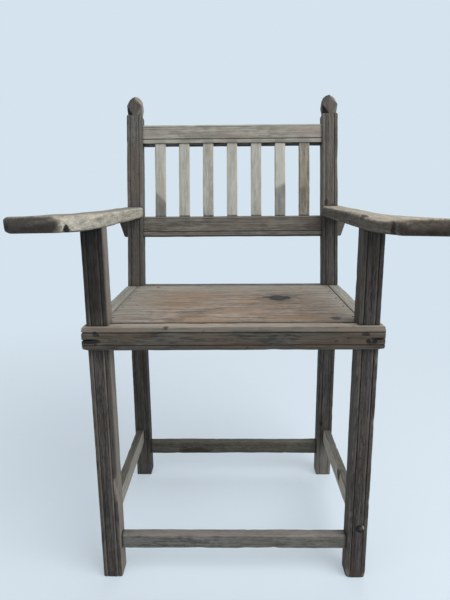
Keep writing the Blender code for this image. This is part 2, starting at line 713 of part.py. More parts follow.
def arm_corners(side):
    """Return an arm's inner and outer front corners, seen from above with +X outwards."""
    toe = Vector((OUTSIDE + ARM_SPREAD, -ARM_OVERHANG))
    heel = Vector((INSIDE + HEEL_SPREAD[side], -ARM_OVERHANG + ARM_HEEL_BACK))
    return heel, toe


def arm_inner_edge(side):
    """Return the curve of an arm's inner edge, from the leg to the inner front corner."""
    heel, _ = arm_corners(side)
    start = Vector((INSIDE, 0))
    pull = Vector((INSIDE, -ARM_INNER_TURN))
    return quadratic(start, pull, heel)


def arm_outline(side):
    """Return an arm's outline seen from above, from the inner rear corner round the front."""
    heel, toe = arm_corners(side)
    inner = arm_inner_edge(side)
    straight = Vector((OUTSIDE + ARM_WAIST, ARM_FLARE_LENGTH))
    pull = Vector((OUTSIDE + ARM_WAIST, -ARM_OUTER_TURN))
    outer = quadratic(toe, pull, straight)
    rear = ARM_POST + ARM_REACH
    points = [Vector((INSIDE, rear))]
    points += inner[:-1]
    points += rounded(inner[-2], heel, toe, ARM_HEEL_RADIUS)
    points += rounded(heel, toe, outer[1], ARM_TOE_RADIUS)
    points += outer[1:]
    points.append(Vector((OUTSIDE + ARM_TAIL, rear)))
    return points


def arm_slab(name, side, outline, low, high):
    """Return the sloping slab over an outline, between two heights above the arms' underside."""
    rings = []
    for lift in (low, high):
        rings.append([(side * p.x, p.y, arm_underside(side, p.y) + lift) for p in outline])
    return loft(name, rings)


def notch_mesh(side):
    """Return the V notch in the lower inner edge of an arm, just behind its front corner."""
    edge = arm_inner_edge(side)
    at = edge[-2]
    along = (edge[-1] - edge[-2]).normalized()
    inward = Vector((-along.y, along.x))
    base = arm_underside(side, at.y)
    rings = []
    for depth in (-OVERRUN, ARM_NOTCH_DEPTH):
        ring = []
        for offset, lift in ((-0.5, -OVERRUN), (0.5, -OVERRUN), (0, ARM_NOTCH_HEIGHT)):
            spot = at + along * offset * ARM_NOTCH_WIDTH + inward * depth
            ring.append((side * spot.x, spot.y, base + lift))
        rings.append(ring)
    return loft("arm_notch", rings)


def make_arm(name, side, woods, chair, back, legs, lower_rail):
    """Make an arm: seated on the front leg, housed round the post and resting on the lower back rail."""
    slab = arm_slab(name, side, arm_outline(side), 0, ARM_THICKNESS)
    arm = place(name, slab, woods["arm_wood"], chair)
    edges = arm.modifiers.new("worn_edges", "BEVEL")
    edges.width = ARM_EDGE
    edges.segments = EDGE_STEPS
    edges.limit_method = "ANGLE"
    edges.angle_limit = EDGE_TURN

    near = side * (INSIDE - OVERRUN)
    far = side * (OUTSIDE + GAP)
    low = (min(near, far), -GAP, ARM_RISE - HOUSING_ROOM)
    high = (max(near, far), LEG + ARM_REACH, ARM_RISE + HOUSING_ROOM)
    carve(arm, box("post_housing", low, high), back)
    carve(arm, notch_mesh(side), chair)

    half = LEG_TENON / 2
    shoulder = arm_underside(side, LEG)
    centre = side * LEG_CENTRE
    low = (centre - half, LEG / 2 - half, shoulder - OVERRUN)
    high = (centre + half, LEG / 2 + half, shoulder + LEG_TENON_HEIGHT)
    weld(legs["front", side], box("leg_tenon", low, high), chair)
    loose_low = [value - GAP for value in low]
    loose_high = [value + GAP for value in high]
    carve(arm, box("leg_mortise", loose_low, loose_high), chair)

    level = ARM_HEIGHT + ARM_THICKNESS / 2
    face = post_front(level)
    half = ARM_TENON_WIDTH / 2
    low = (centre - half, face - ARM_TENON_LENGTH, level - ARM_TENON_HEIGHT / 2)
    high = (centre + half, face + ARM_TENON_LENGTH, level + ARM_TENON_HEIGHT / 2)
    weld(arm, box("arm_tenon", low, high), chair)
    loose_low = [value - GAP for value in low]
    loose_high = [value + GAP for value in high]
    carve(legs["rear", side], box("arm_mortise", loose_low, loose_high), chair)

    beside = OUTSIDE + THROUGH_REACH + OVERRUN
    rear = ARM_POST + LEG + ARM_REACH
    front = ARM_POST - ARM_REACH
    corners = ((OUTSIDE + GAP, front), (beside, front), (beside, rear), (OUTSIDE + GAP, rear))
    outline = [Vector(corner) for corner in corners]
    carve(lower_rail, arm_slab("arm_seat", side, outline, -GAP, ARM_THICKNESS), chair)

    through = BACK_SETBACK + LOWER_RAIL_THICKNESS / 2
    across = ARM_POST + through / math.cos(POST_RAKE)
    top = arm_underside(side, across) + ARM_THICKNESS
    spot = (side * (OUTSIDE + GAP + (ARM_TAIL - GAP) / 2), across, top)
    held = (arm, lower_rail)
    nail(name + "_nail", woods["nail_iron"], chair, spot, (0, 0, 0), ARM_NAIL_LENGTH, held)
    return arm


def centre_on_floor(chair, pieces):
    """Move the chair so that the middle of its width and depth stands over the origin."""
    bpy.context.view_layer.update()
    graph = bpy.context.evaluated_depsgraph_get()
    corners = []
    for piece in pieces:
        seen = piece.evaluated_get(graph)
        corners += [seen.matrix_world @ Vector(corner) for corner in seen.bound_box]
    for axis in (0, 1):
        reach = [corner[axis] for corner in corners]
        chair.location[axis] = -(min(reach) + max(reach)) / 2


def main():
    """Build the whole chair."""
    for thing in list(bpy.data.objects):
        bpy.data.objects.remove(thing)
    woods = make_materials()
    chair = frame_empty("chair")
    back = frame_empty("raked_back", chair, (0, DEPTH, SEAT_HEIGHT), (-POST_RAKE, 0, 0))
    legs = {}
    for side, label in ((-1, "left"), (1, "right")):
        legs["front", side] = front_leg("front_leg_" + label, side, woods["leg_wood"], chair)
        legs["rear", side] = rear_leg("rear_leg_" + label, side, woods["leg_wood"], chair, back)
    cleats = make_seat_frame(woods, chair, legs)
    make_seat_boards(woods, chair, cleats)
    make_stretchers(woods, chair, legs)
    lower_rail = make_back(woods, back, legs)
    arms = []
    for side, label in ((-1, "left"), (1, "right")):
        arms.append(make_arm("arm_" + label, side, woods, chair, back, legs, lower_rail))
    centre_on_floor(chair, arms + [legs["rear", 1]])


main()
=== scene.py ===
"""Looks for a weathered folk art armchair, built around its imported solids.

Sizes are in metres. Pieces are worked out in the chair's own frame, which has y = 0 at the front
faces of the front legs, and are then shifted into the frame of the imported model.
"""

import logging
import math
import random
from collections.abc import Callable
from dataclasses import dataclass, field
from enum import Enum
from typing import TypeVar

import bmesh
import bpy
import numpy as np
from mathutils import Matrix, Vector
from mathutils.bvhtree import BVHTree

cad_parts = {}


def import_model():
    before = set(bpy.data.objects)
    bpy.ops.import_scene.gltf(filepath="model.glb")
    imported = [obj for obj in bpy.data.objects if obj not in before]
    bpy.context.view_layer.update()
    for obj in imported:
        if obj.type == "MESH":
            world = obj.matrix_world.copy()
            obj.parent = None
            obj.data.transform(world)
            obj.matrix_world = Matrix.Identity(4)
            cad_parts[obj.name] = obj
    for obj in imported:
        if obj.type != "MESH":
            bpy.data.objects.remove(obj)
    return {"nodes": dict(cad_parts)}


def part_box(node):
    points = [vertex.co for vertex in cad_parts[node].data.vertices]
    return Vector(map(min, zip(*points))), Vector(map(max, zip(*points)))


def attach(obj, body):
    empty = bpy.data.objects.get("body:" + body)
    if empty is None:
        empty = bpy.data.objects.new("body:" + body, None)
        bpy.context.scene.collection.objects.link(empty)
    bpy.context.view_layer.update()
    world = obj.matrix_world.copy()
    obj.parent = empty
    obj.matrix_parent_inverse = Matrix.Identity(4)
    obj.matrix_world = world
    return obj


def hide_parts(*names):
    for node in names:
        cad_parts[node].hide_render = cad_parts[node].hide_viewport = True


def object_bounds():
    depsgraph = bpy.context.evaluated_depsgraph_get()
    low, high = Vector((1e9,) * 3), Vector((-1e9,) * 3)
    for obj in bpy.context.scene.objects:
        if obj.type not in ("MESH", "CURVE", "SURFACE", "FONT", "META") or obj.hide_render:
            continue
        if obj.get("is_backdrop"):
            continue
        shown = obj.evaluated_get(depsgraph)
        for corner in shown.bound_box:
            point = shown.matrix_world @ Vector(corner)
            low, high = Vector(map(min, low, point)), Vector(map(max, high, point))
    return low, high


LOG = logging.getLogger("armchair")

Solid = bpy.types.Object
Socket = bpy.types.NodeSocket
Material = bpy.types.Material
Array = np.ndarray
Triple = tuple[float, float, float]
Radii = tuple[float, float, float, float]
Colour = tuple[float, float, float, float]
Shade = Callable[[Array, Array], Array]
Thing = TypeVar("Thing")

ACROSS: Triple = (1.0, 0.0, 0.0)
DEEP: Triple = (0.0, 1.0, 0.0)
UP: Triple = (0.0, 0.0, 1.0)


class Side(Enum):
    """The two sides of the chair, as they lie in the picture."""

    LEFT = -1
    RIGHT = 1

    @property
    def word(self) -> str:
        """Name the side as the nodes do."""
        return self.name.lower()

    def pick(self, left: Thing, right: Thing) -> Thing:
        """Choose between what the left side has and what the right side has."""
        return right if self is Side.RIGHT else left


class Slot(Enum):
    """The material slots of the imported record."""

    LEG = "leg_wood"
    RAIL = "rail_wood"
    SEAT = "seat_wood"
    BACK = "back_wood"
    SLAT = "slat_wood"
    ARM = "arm_wood"
    STRETCHER = "stretcher_wood"
    HIDDEN = "hidden_wood"
    NAIL = "nail_iron"


class Corner(Enum):
    """The corners of a cross-section whose width runs from near to far and height from low to high."""

    NEAR_LOW = 0
    FAR_LOW = 1
    FAR_HIGH = 2
    NEAR_HIGH = 3


class Flank(Enum):
    """The sides of a cross-section, each starting at the corner of the same number."""

    LOW = 0
    FAR = 1
    HIGH = 2
    NEAR = 3


class Cut(Enum):
    """The ways to work one solid with another."""

    AWAY = "DIFFERENCE"
    ON = "UNION"


def tint(code: str) -> Colour:
    """Turn a colour written as six hexadecimal digits into linear light.

    Args:
        code: the colour, such as "8c7b69".

    Returns:
        Red, green, blue and full opacity.
    """
    parts = [int(code[i : i + 2], 16) / 255 for i in (0, 2, 4)]
    red, green, blue = [v / 12.92 if v <= 0.04045 else ((v + 0.055) / 1.055) ** 2.4 for v in parts]
    return (red, green, blue, 1.0)


def eased(low: float, high: float, value: Array) -> Array:
    """Rise smoothly from 0 where a value is low to 1 where it is high."""
    share = np.clip((value - low) / (high - low), 0.0, 1.0)
    return share * share * (3.0 - 2.0 * share)


class Ripple:
    """A smooth, seeded unevenness over a piece."""

    SPREAD = 0.6

    def __init__(self, dice: random.Random, lengths: tuple[float, ...], count: int = 10) -> None:
        """Draw the waves.

        Args:
            dice: the piece's own random numbers.
            lengths: the usual wavelength along each axis.
            count: how many waves are laid over each other.
        """
        turns = [[dice.gauss(0.0, self.SPREAD) / length for length in lengths] for _ in range(count)]
        self.waves = np.array(turns) * 2.0 * math.pi
        self.phases = np.array([dice.uniform(0.0, 2.0 * math.pi) for _ in range(count)])
        self.scale = math.sqrt(2.0 / count)

    def __call__(self, points: Array) -> Array:
        """Return the unevenness at points, about 1 in size."""
        return np.sin(points @ self.waves.T + self.phases).sum(-1) * self.scale


@dataclass(frozen=True)
class Layout:
    """The sizes that several sub-assemblies share, and the chair's raked back."""

    leg: float = 0.035
    inside: float = 0.204
    depth: float = 0.339
    seat: float = 0.4785
    rake: float = math.radians(11.55)
    arm_rise: float = 0.152
    arm_lift_left: float = 0.0176
    arm_lift_right: float = 0.002

    @property
    def outside(self) -> float:
        """Give the outer faces of the legs."""
        return self.inside + self.leg

    @property
    def leg_centre(self) -> float:
        """Give the middle of the legs."""
        return self.inside + self.leg / 2

    @property
    def arm_height(self) -> float:
        """Give the arms' underside at the posts."""
        return self.seat + self.arm_rise

    @property
    def arm_post(self) -> float:
        """Give how far back the posts are at the arms' underside."""
        return self.depth + self.arm_rise * math.tan(self.rake)

    @property
    def back_up(self) -> Triple:
        """Give the direction up the raked back."""
        return (0.0, math.sin(self.rake), math.cos(self.rake))

    @property
    def back_in(self) -> Triple:
        """Give the direction through the raked back, from its front face."""
        return (0.0, math.cos(self.rake), -math.sin(self.rake))

    def arm_underside(self, side: Side, y: Array) -> Array:
        """Return the height of an arm's underside at a distance behind the front legs' faces."""
        lift = side.pick(self.arm_lift_left, self.arm_lift_right)
        return self.arm_height + lift * (self.arm_post - y)

    def raked(self, x: float, depth: float, along: float) -> Triple:
        """Place a point of the back.

        Args:
            x: its place across the chair.
            depth: how far it lies behind the posts' front faces.
            along: how far up the posts it lies from the seat.

        Returns:
            The point in the chair's frame.
        """
        y = self.depth + along * math.sin(self.rake) + depth * math.cos(self.rake)
        z = self.seat + along * math.cos(self.rake) - depth * math.sin(self.rake)
        return (x, y, z)


LAYOUT = Layout()


@dataclass(frozen=True)
class Groove:
    """A scratched line along one flank of a piece."""

    flank: Flank
    at: float
    width: float = 0.0026
    depth: float = 0.0014


@dataclass(frozen=True)
class Gouge:
    """A stretch where one edge of a piece is broken or rubbed away."""

    corner: Corner
    start: float
    end: float
    depth: float
    ramp: float = 0.012
    fall: float = 0.0


@dataclass(frozen=True)
class Wear:
    """How uneven and how worn a piece is."""

    ripple: float = 0.0001
    wave: Triple = (0.06, 0.06, 0.25)
    arris: float = 0.0004
    nick: float = 0.0008
    nicks: float = 9.0
    end_round: float = 0.0015


class Outline:
    """The cross-section of a worked piece: points round a rectangle with eased corners."""

    HEADINGS = np.array([(1, 0), (0, 1), (-1, 0), (0, -1)], float)
    OUTWARD = np.array([(0, -1), (1, 0), (0, 1), (-1, 0)], float)
    ARC_STEPS = 4
    REACH = 0.0042
    GROOVE_ROOM = 0.8
    # How far the grooves' grime and painted shade reach towards the lit wall.
    DIRT_AND_SHADE_EDGE = 0.1
    GROOVE_SHAPE = ((-0.5, 0.0), (-0.26, 0.8), (0.0, 1.0), (0.26, 0.8), (0.5, 0.0))

    def __init__(
        self,
        width: float,
        height: float,
        radii: Radii,
        step: float = 0.0026,
        grooves: tuple[Groove, ...] = (),
    ) -> None:
        """Lay out the points.

        Args:
            width: the extent from near to far.
            height: the extent from low to high.
            radii: the rounding of each corner.
            step: the largest distance between points on a flank.
            grooves: the scratched lines.
        """
        corners = np.array([(0, 0), (width, 0), (width, height), (0, height)], float)
        rows = []
        for flank in Flank:
            side = flank.value
            lit = -1.0 if flank is Flank.LOW else 1.0
            following = (side + 1) % 4
            reach = (width, height)[side % 2]
            low, high = radii[side], reach - radii[following]
            count = max(2, math.ceil((high - low) / step) + 1)
            marks = {t: (0.0, 0.0, 0.0) for t in np.linspace(low, high, count)}
            for groove in grooves:
                if groove.flank is flank:
                    middle = groove.at if side < 2 else reach - groove.at
                    room = groove.width * self.GROOVE_ROOM
                    marks = {t: d for t, d in marks.items() if abs(t - middle) > room or t in (low, high)}
                    for offset, share in self.GROOVE_SHAPE:
                        # dark: grime and painted shade on the groove wall turned from the light; pale: a
                        # painted highlight on the lip of the lit wall.
                        dark = float(share > 0.0 and offset * lit <= self.DIRT_AND_SHADE_EDGE)
                        pale = float(share == 0.0 and offset * lit > 0.0)
                        marks[middle + offset * groove.width] = (share * groove.depth, dark, pale)
            for t in sorted(marks):
                rows.append((corners[side] + self.HEADINGS[side] * t, self.OUTWARD[side], marks[t]))
            radius = radii[following]
            centre = corners[following] + (self.HEADINGS[following] - self.HEADINGS[side]) * radius
            for k in range(1, self.ARC_STEPS):
                turn = math.pi / 2 * k / self.ARC_STEPS
                normal = self.OUTWARD[side] * math.cos(turn) + self.OUTWARD[following] * math.sin(turn)
                rows.append((centre + normal * radius, normal, (0.0, 0.0, 0.0)))
        # The scratch columns: groove depth, grime with painted shade, and the painted highlight on lit lips.
        self.points, self.normals, scratches = (np.array(column) for column in zip(*rows))
        self.sinks, self.dirt_and_shade, self.lit_lips = scratches.T
        self.middle = corners.mean(0)
        distance = np.linalg.norm(self.points[:, None] - corners[None], axis=-1)
        self.closeness = np.exp(-((distance / self.REACH) ** 2))
        self.inward = np.sign(self.middle - corners) / math.sqrt(2.0)


@dataclass(frozen=True)
class Straight:
    """Where a straight piece lies: its first corner and the directions of its width, height and grain."""

    corner: Triple
    across: Triple
    up: Triple
    along: Triple

    def carry(self, p: Array, q: Array, w: Array) -> Array:
        """Place points p across the width and q up the height at stations w along the grain."""
        sums = p[..., None] * np.array(self.across) + q[..., None] * np.array(self.up)
        return np.array(self.corner) + sums + w[..., None] * np.array(self.along)

    def grain(self, points: Array) -> Array:
        """Return where points of the chair's frame lie in the piece's own wood."""
        moved = points - np.array(self.corner)
        return np.stack([moved @ np.array(d) for d in (self.across, self.up, self.along)], -1)

    def heading(self) -> Array:
        """Return the direction of the grain."""
        return np.array(self.along)


@dataclass(frozen=True)
class Bent:
    """Where a rear leg lies: upright to the seat, then raked with the back."""

    start: float
    settle: float = 0.09

    def carry(self, p: Array, q: Array, w: Array) -> Array:
        """Place points of the cross-section at stations up the leg.

        Args:
            p: places across the width.
            q: places behind the front face.
            w: stations up the front face.

        Returns:
            The points in the chair's frame.
        """
        lean = math.tan(LAYOUT.rake / 2)
        below = w <= LAYOUT.seat
        tilt = np.clip(1.0 - (LAYOUT.seat - w) / self.settle, 0.0, 1.0) ** 2
        rise = w - LAYOUT.seat
        along = rise + q * lean * np.clip(1.0 - rise / self.settle, 0.0, 1.0) ** 2
        y = np.where(below, q, along * math.sin(LAYOUT.rake) + q * math.cos(LAYOUT.rake))
        lower = w - q * lean * tilt
        upper = LAYOUT.seat + along * math.cos(LAYOUT.rake) - q * math.sin(LAYOUT.rake)
        return np.stack([self.start + p, LAYOUT.depth + y, np.where(below, lower, upper)], -1)

    def grain(self, points: Array) -> Array:
        """Find where points lie in the piece's own wood.

        Args:
            points: places in the chair's frame.

        Returns:
            Their places across, behind the front face and up the leg.
        """
        back = points[:, 1] - LAYOUT.depth
        rise = points[:, 2] - LAYOUT.seat
        raked = rise + back * math.tan(LAYOUT.rake / 2) > 0.0
        along = back * math.sin(LAYOUT.rake) + rise * math.cos(LAYOUT.rake)
        deep = back * math.cos(LAYOUT.rake) - rise * math.sin(LAYOUT.rake)
        q = np.where(raked, deep, back)
        w = np.where(raked, along, rise) + LAYOUT.seat
        return np.stack([points[:, 0] - self.start, q, w], -1)

    def heading(self) -> Array:
        """Return the direction of the grain."""
        return np.array(UP)


@dataclass(frozen=True)
class Sawn:
    """Where an arm lies: between two curved edges seen from above, from the post to its front end."""

    near: Array
    far: Array
    width: float
    length: float
    side: Side

    def carry(self, p: Array, q: Array, w: Array) -> Array:
        """Place points of the cross-section at stations along the arm.

        Args:
            p: places across the arm's usual width.
            q: heights above its underside.
            w: stations from the post to the front end.

        Returns:
            The points in the chair's frame.
        """
        share = np.clip(w / self.length, 0.0, 1.0)
        steps = np.linspace(0.0, 1.0, len(self.near))
        mix = p / self.width
        plan = []
        for axis in (0, 1):
            one = np.interp(share, steps, self.near[:, axis])
            two = np.interp(share, steps, self.far[:, axis])
            plan.append(one + mix * (two - one))
        x, y = plan
        return np.stack([x, y, LAYOUT.arm_underside(self.side, y) + q], -1)

    def grain(self, points: Array) -> Array:
        """Return where points of the chair's frame lie in the piece's own wood."""
        return np.stack([points[:, 0], points[:, 2], points[:, 1]], -1)

    def heading(self) -> Array:
        """Return the direction of the grain."""
        return np.array(DEEP)


Lay = Straight | Bent | Sawn


def new_object(name: str, points: list, faces: list) -> Solid:
    """Make a linked mesh object.

    Args:
        name: its name.
        points: its corners.
        faces: its faces, as numbers of corners.

    Returns:
        The object.
    """
    mesh = bpy.data.meshes.new(name)
    mesh.from_pydata(points, [], faces)
    made = bpy.data.objects.new(name, mesh)
    bpy.context.scene.collection.objects.link(made)
    return made


def tube(rings: int, count: int) -> list[list[int]]:
    """Number the faces between rings of points.

    Args:
        rings: how many rings there are.
        count: how many points each has.

    Returns:
        The faces, ring by ring.
    """
    faces = []
    for low in range(0, (rings - 1) * count, count):
        for i in range(count):
            j = (i + 1) % count
            faces.append([low + i, low + j, low + count + j, low + count + i])
    return faces


def turn_out(tool: Solid) -> None:
    """Turn the faces of a closed solid outwards.

    Args:
        tool: the solid.
    """
    work = bmesh.new()
    work.from_mesh(tool.data)
    bmesh.ops.recalc_face_normals(work, faces=work.faces)
    work.to_mesh(tool.data)
    work.free()


def prism(low: list, high: list) -> Solid:
    """Make a closed solid between two rings of the same number of points.

    Args:
        low: the first ring.
        high: the second ring.

    Returns:
        The solid, to work another piece with.
    """
    count = len(low)
    faces = [list(range(count)), list(range(count, 2 * count))] + tube(2, count)
    tool = new_object("tool", [tuple(p) for p in low] + [tuple(p) for p in high], faces)
    turn_out(tool)
    return tool


def block(low: Triple, high: Triple) -> Solid:
    """Make a square-cut solid between its lowest and its highest corner."""
    ring = ((low[0], low[1]), (high[0], low[1]), (high[0], high[1]), (low[0], high[1]))
    return prism([(x, y, low[2]) for x, y in ring], [(x, y, high[2]) for x, y in ring])


def work_solid(piece: Solid, tool: Solid, cut: Cut) -> None:
    """Cut a solid out of a piece, or weld it on, and drop the solid.

    Args:
        piece: the piece to work.
        tool: the solid.
        cut: which of the two to do.
    """
    step = piece.modifiers.new("work", "BOOLEAN")
    step.operation = cut.value
    step.solver = "EXACT"
    step.object = tool
    bpy.context.view_layer.update()
    worked = piece.evaluated_get(bpy.context.evaluated_depsgraph_get())
    mesh = bpy.data.meshes.new_from_object(worked)
    if not mesh.polygons:
        raise RuntimeError(f"nothing is left of {piece.name}")
    piece.modifiers.clear()
    before = piece.data
    piece.data = mesh
    bpy.data.meshes.remove(before)
    mesh.name = piece.name
    spent = tool.data
    bpy.data.objects.remove(tool)
    bpy.data.meshes.remove(spent)


@dataclass
class Timber:
    """One piece of wood, worked from its cross-section with its unevenness and wear."""

    node: str
    outline: Outline
    length: float
    lay: Lay
    wear: Wear = Wear()
    gouges: tuple[Gouge, ...] = ()
    pace: float = 0.005

    EASE = (0.0, 0.12, 0.42)
    SLOW, QUICK = 0.16, 0.03
    NICK_SIZES = (0.003, 0.012)
    LIT_LIP_HIGHLIGHT = 0.5
    FULL_RUB = 2.2
    SCRATCH_SHAKE, SCRATCH_WAVE = 0.15, 0.02

    def stations(self) -> Array:
        """Choose where the cross-section is laid.

        Returns:
            The places along the length, closer together at the rounded ends.
        """
        ease = self.wear.end_round * np.array(self.EASE)
        room = self.length - 2 * self.wear.end_round
        middle = self.wear.end_round + np.linspace(0.0, room, max(2, int(room / self.pace) + 1))
        return np.concatenate([ease, middle, self.length - ease[::-1]])

    def edge_loss(self, dice: random.Random, stations: Array) -> Array:
        """Work out how much each corner has lost along the length.

        Args:
            dice: the piece's own random numbers.
            stations: the places along the length.

        Returns:
            The loss for each station and corner.
        """
        loss = np.zeros((len(stations), 4))
        for corner in Corner:
            slow = Ripple(dice, (self.SLOW,))(stations[:, None])
            quick = Ripple(dice, (self.QUICK,))(stations[:, None])
            line = self.wear.arris * np.clip(0.7 + 0.22 * slow + 0.25 * quick, 0.05, None)
            for _ in range(int(self.wear.nicks * self.length)):
                at = dice.uniform(0.0, self.length)
                size = dice.uniform(*self.NICK_SIZES)
                depth = self.wear.nick * dice.uniform(0.2, 1.0) ** 2
                line = line + depth * np.exp(-(((stations - at) / size) ** 2))
            loss[:, corner.value] = line
        for gouge in self.gouges:
            rise = eased(gouge.start, gouge.start + gouge.ramp, stations)
            fall = eased(gouge.end - (gouge.fall or gouge.ramp), gouge.end, stations)
            loss[:, gouge.corner.value] += gouge.depth * rise * (1.0 - fall)
        return loss

    def end_inset(self, stations: Array) -> Array:
        """Draw the cross-section in at the rounded ends.

        Args:
            stations: the places along the length.

        Returns:
            How far it draws in at each place.
        """
        radius = self.wear.end_round
        short = np.clip(radius - np.minimum(stations, self.length - stations), 0.0, radius)
        return radius - np.sqrt(np.clip(radius**2 - short**2, 0.0, None))

    def make(self) -> Solid:
        """Build the piece in the chair's frame, with its rubbed places, the grime and painted shade in its
        grooves, and the painted highlight on their lit lips marked.

        Returns:
            The piece, one closed mesh.
        """
        dice = random.Random(self.node)
        stations = self.stations()
        rings, count = len(stations), len(self.outline.points)
        grid = np.empty((rings, count, 3))
        grid[..., :2] = self.outline.points
        grid[..., 2] = stations[:, None]
        swell = Ripple(dice, self.wear.wave)(grid) * self.wear.ripple
        loss = self.edge_loss(dice, stations)
        rub = loss @ self.outline.closeness.T
        shake = self.SCRATCH_SHAKE * Ripple(dice, (self.SCRATCH_WAVE,))(stations[:, None])
        sink = self.outline.sinks * (1.0 + shake)[:, None]
        grid[..., :2] += self.outline.normals * (swell - sink)[..., None]
        grid[..., :2] += np.einsum("sk,pk,kd->spd", loss, self.outline.closeness, self.outline.inward)
        shrink = self.end_inset(stations)[:, None, None] / self.outline.middle
        grid[..., :2] += (self.outline.middle - grid[..., :2]) * shrink
        points = self.lay.carry(grid[..., 0], grid[..., 1], grid[..., 2]).reshape(-1, 3)
        ring = list(range(count))
        faces = tube(rings, count) + [ring[::-1], [(rings - 1) * count + i for i in ring]]
        piece = new_object("worn_" + self.node, points.tolist(), faces)
        # The wear mark also carries the painted highlight on the grooves' lit lips, and the groove mark
        # carries grime with painted shade.
        rubbed = np.clip(rub / (self.FULL_RUB * self.wear.arris), 0.0, 1.0)
        rubbed = np.maximum(rubbed, self.LIT_LIP_HIGHLIGHT * self.outline.lit_lips)
        mark(piece, "wear", rubbed.reshape(-1))
        scratched = np.broadcast_to(self.outline.dirt_and_shade, rub.shape)
        mark(piece, "groove", scratched.reshape(-1))
        return piece


def mark(piece: Solid, name: str, values: Array, domain: str = "POINT") -> None:
    """Store numbers on a piece's mesh for its finish to read.

    Args:
        piece: the piece.
        name: the name that the finish looks for.
        values: one number, or one row of three, for each point or face.
        domain: POINT or FACE.
    """
    kind, key = ("FLOAT", "value") if values.ndim == 1 else ("FLOAT_VECTOR", "vector")
    layer = piece.data.attributes.get(name) or piece.data.attributes.new(name, kind, domain)
    layer.data.foreach_set(key, values.astype(np.float32).reshape(-1))


def fade(piece: Solid, name: str, low: float, high: float, rest: float = 0.3) -> None:
    """Weaken stored numbers from the height high down to low, where the share rest is left."""
    for number, vertex in zip(piece.data.attributes[name].data, piece.data.vertices):
        number.value *= rest + (1.0 - rest) * float(eased(low, high, np.array(vertex.co.z)))


class Bench:
    """Short calls that add nodes to the tree of one material or world."""

    BUMP = 0.6

    def __init__(self, owner: Material | bpy.types.World) -> None:
        """Start an empty tree.

        Args:
            owner: what the tree belongs to.
        """
        self.owner = owner
        owner.use_nodes = True
        self.tree = owner.node_tree
        self.tree.nodes.clear()

    def put(self, kind: str, *given: object, **settings: object) -> bpy.types.Node:
        """Add a node.

        Args:
            kind: what Blender calls it.
            given: what its first inputs take, in order.
            settings: its properties.

        Returns:
            The node.
        """
        node = self.tree.nodes.new(kind)
        for key, value in settings.items():
            setattr(node, key, value)
        for socket, value in zip(node.inputs, given):
            self.feed(socket, value)
        return node

    def feed(self, socket: Socket, value: object) -> None:
        """Wire another socket into a socket, or set its number or colour.

        Args:
            socket: the input.
            value: the other socket, or the number or colour.
        """
        if isinstance(value, Socket):
            self.tree.links.new(value, socket)
        else:
            socket.default_value = value

    def mark(self, name: str, output: str = "Fac") -> Socket:
        """Read numbers that are stored on the mesh."""
        return self.put("ShaderNodeAttribute", attribute_name=name).outputs[output]

    def stretch(self, vector: object, scale: Triple) -> Socket:
        """Scale coordinates axis by axis."""
        return self.put("ShaderNodeVectorMath", vector, scale, operation="MULTIPLY").outputs["Vector"]

    def noise(self, vector: object, scale: Triple, detail: float = 3.0, rough: float = 0.55) -> Socket:
        """Add a noise pattern.

        Args:
            vector: the coordinates.
            scale: waves per metre along each axis.
            detail: how many finer patterns are laid over it.
            rough: how strong the finer patterns are.

        Returns:
            The pattern, mostly from 0.3 to 0.7.
        """
        node = self.put("ShaderNodeTexNoise", self.stretch(vector, scale))
        for key, value in (("Scale", 1.0), ("Detail", detail), ("Roughness", rough)):
            node.inputs[key].default_value = value
        return node.outputs["Fac"]

    def sum(self, operation: str, first: object, second: object = 0.0) -> Socket:
        """Work out one sum with two numbers."""
        return self.put("ShaderNodeMath", first, second, operation=operation).outputs[0]

    def span(self, value: object, low: float, high: float, start: float = 0.0, end: float = 1.0) -> Socket:
        """Map a number smoothly, so that low becomes start and high becomes end."""
        given = (value, low, high, start, end)
        return self.put("ShaderNodeMapRange", *given, interpolation_type="SMOOTHSTEP").outputs[0]

    def blend(self, share: object, first: object, second: object) -> Socket:
        """Mix two colours.

        Args:
            share: how much of the second there is, from 0 to 1.
            first: the first colour.
            second: the second colour.

        Returns:
            The mixed colour.
        """
        node = self.put("ShaderNodeMix", share, data_type="RGBA")
        for key, value in ((6, first), (7, second)):
            self.feed(node.inputs[key], value)
        return node.outputs[2]

    def seen(self) -> Socket:
        """Pick out the rays that show a thing to the camera.

        Returns:
            1 for rays straight from the camera, by gloss or through glass, and 0 for the rest.
        """
        path = self.put("ShaderNodeLightPath")
        share = path.outputs["Is Camera Ray"]
        for kind in ("Is Glossy Ray", "Is Transmission Ray"):
            share = self.sum("MAXIMUM", share, path.outputs[kind])
        return share

    def mix(self, output: str, share: object, first: bpy.types.Node, second: bpy.types.Node) -> None:
        """Mix a share of the second shader into the first, and send them to a kind of output."""
        mixed = self.put("ShaderNodeMixShader", share, first.outputs[0], second.outputs[0])
        self.put(output, mixed.outputs[0])

    def shader(
        self,
        colour: object,
        rough: object,
        height: object,
        relief: float,
        specular: float,
        metal: float = 0.0,
    ) -> Material:
        """Finish the material.

        Args:
            colour: its colour.
            rough: its roughness.
            height: its fine relief.
            relief: how deep that relief is.
            specular: its specular level.
            metal: 1 for metal.

        Returns:
            The material.
        """
        bump = self.put("ShaderNodeBump")
        bump.inputs["Strength"].default_value = self.BUMP
        bump.inputs["Distance"].default_value = relief
        self.feed(bump.inputs["Height"], height)
        skin = self.put("ShaderNodeBsdfPrincipled")
        self.feed(skin.inputs["Base Color"], colour)
        self.feed(skin.inputs["Roughness"], rough)
        self.feed(skin.inputs["Normal"], bump.outputs["Normal"])
        skin.inputs["Specular IOR Level"].default_value = specular
        skin.inputs["Metallic"].default_value = metal
        self.put("ShaderNodeOutputMaterial", skin.outputs["BSDF"])
        return self.owner


@dataclass(frozen=True)
class Knot:
    """A knot in a piece of wood, at a point of the chair's frame, with its reach along the wood's axes."""

    at: Triple
    reach: Triple
    strength: float = 0.9


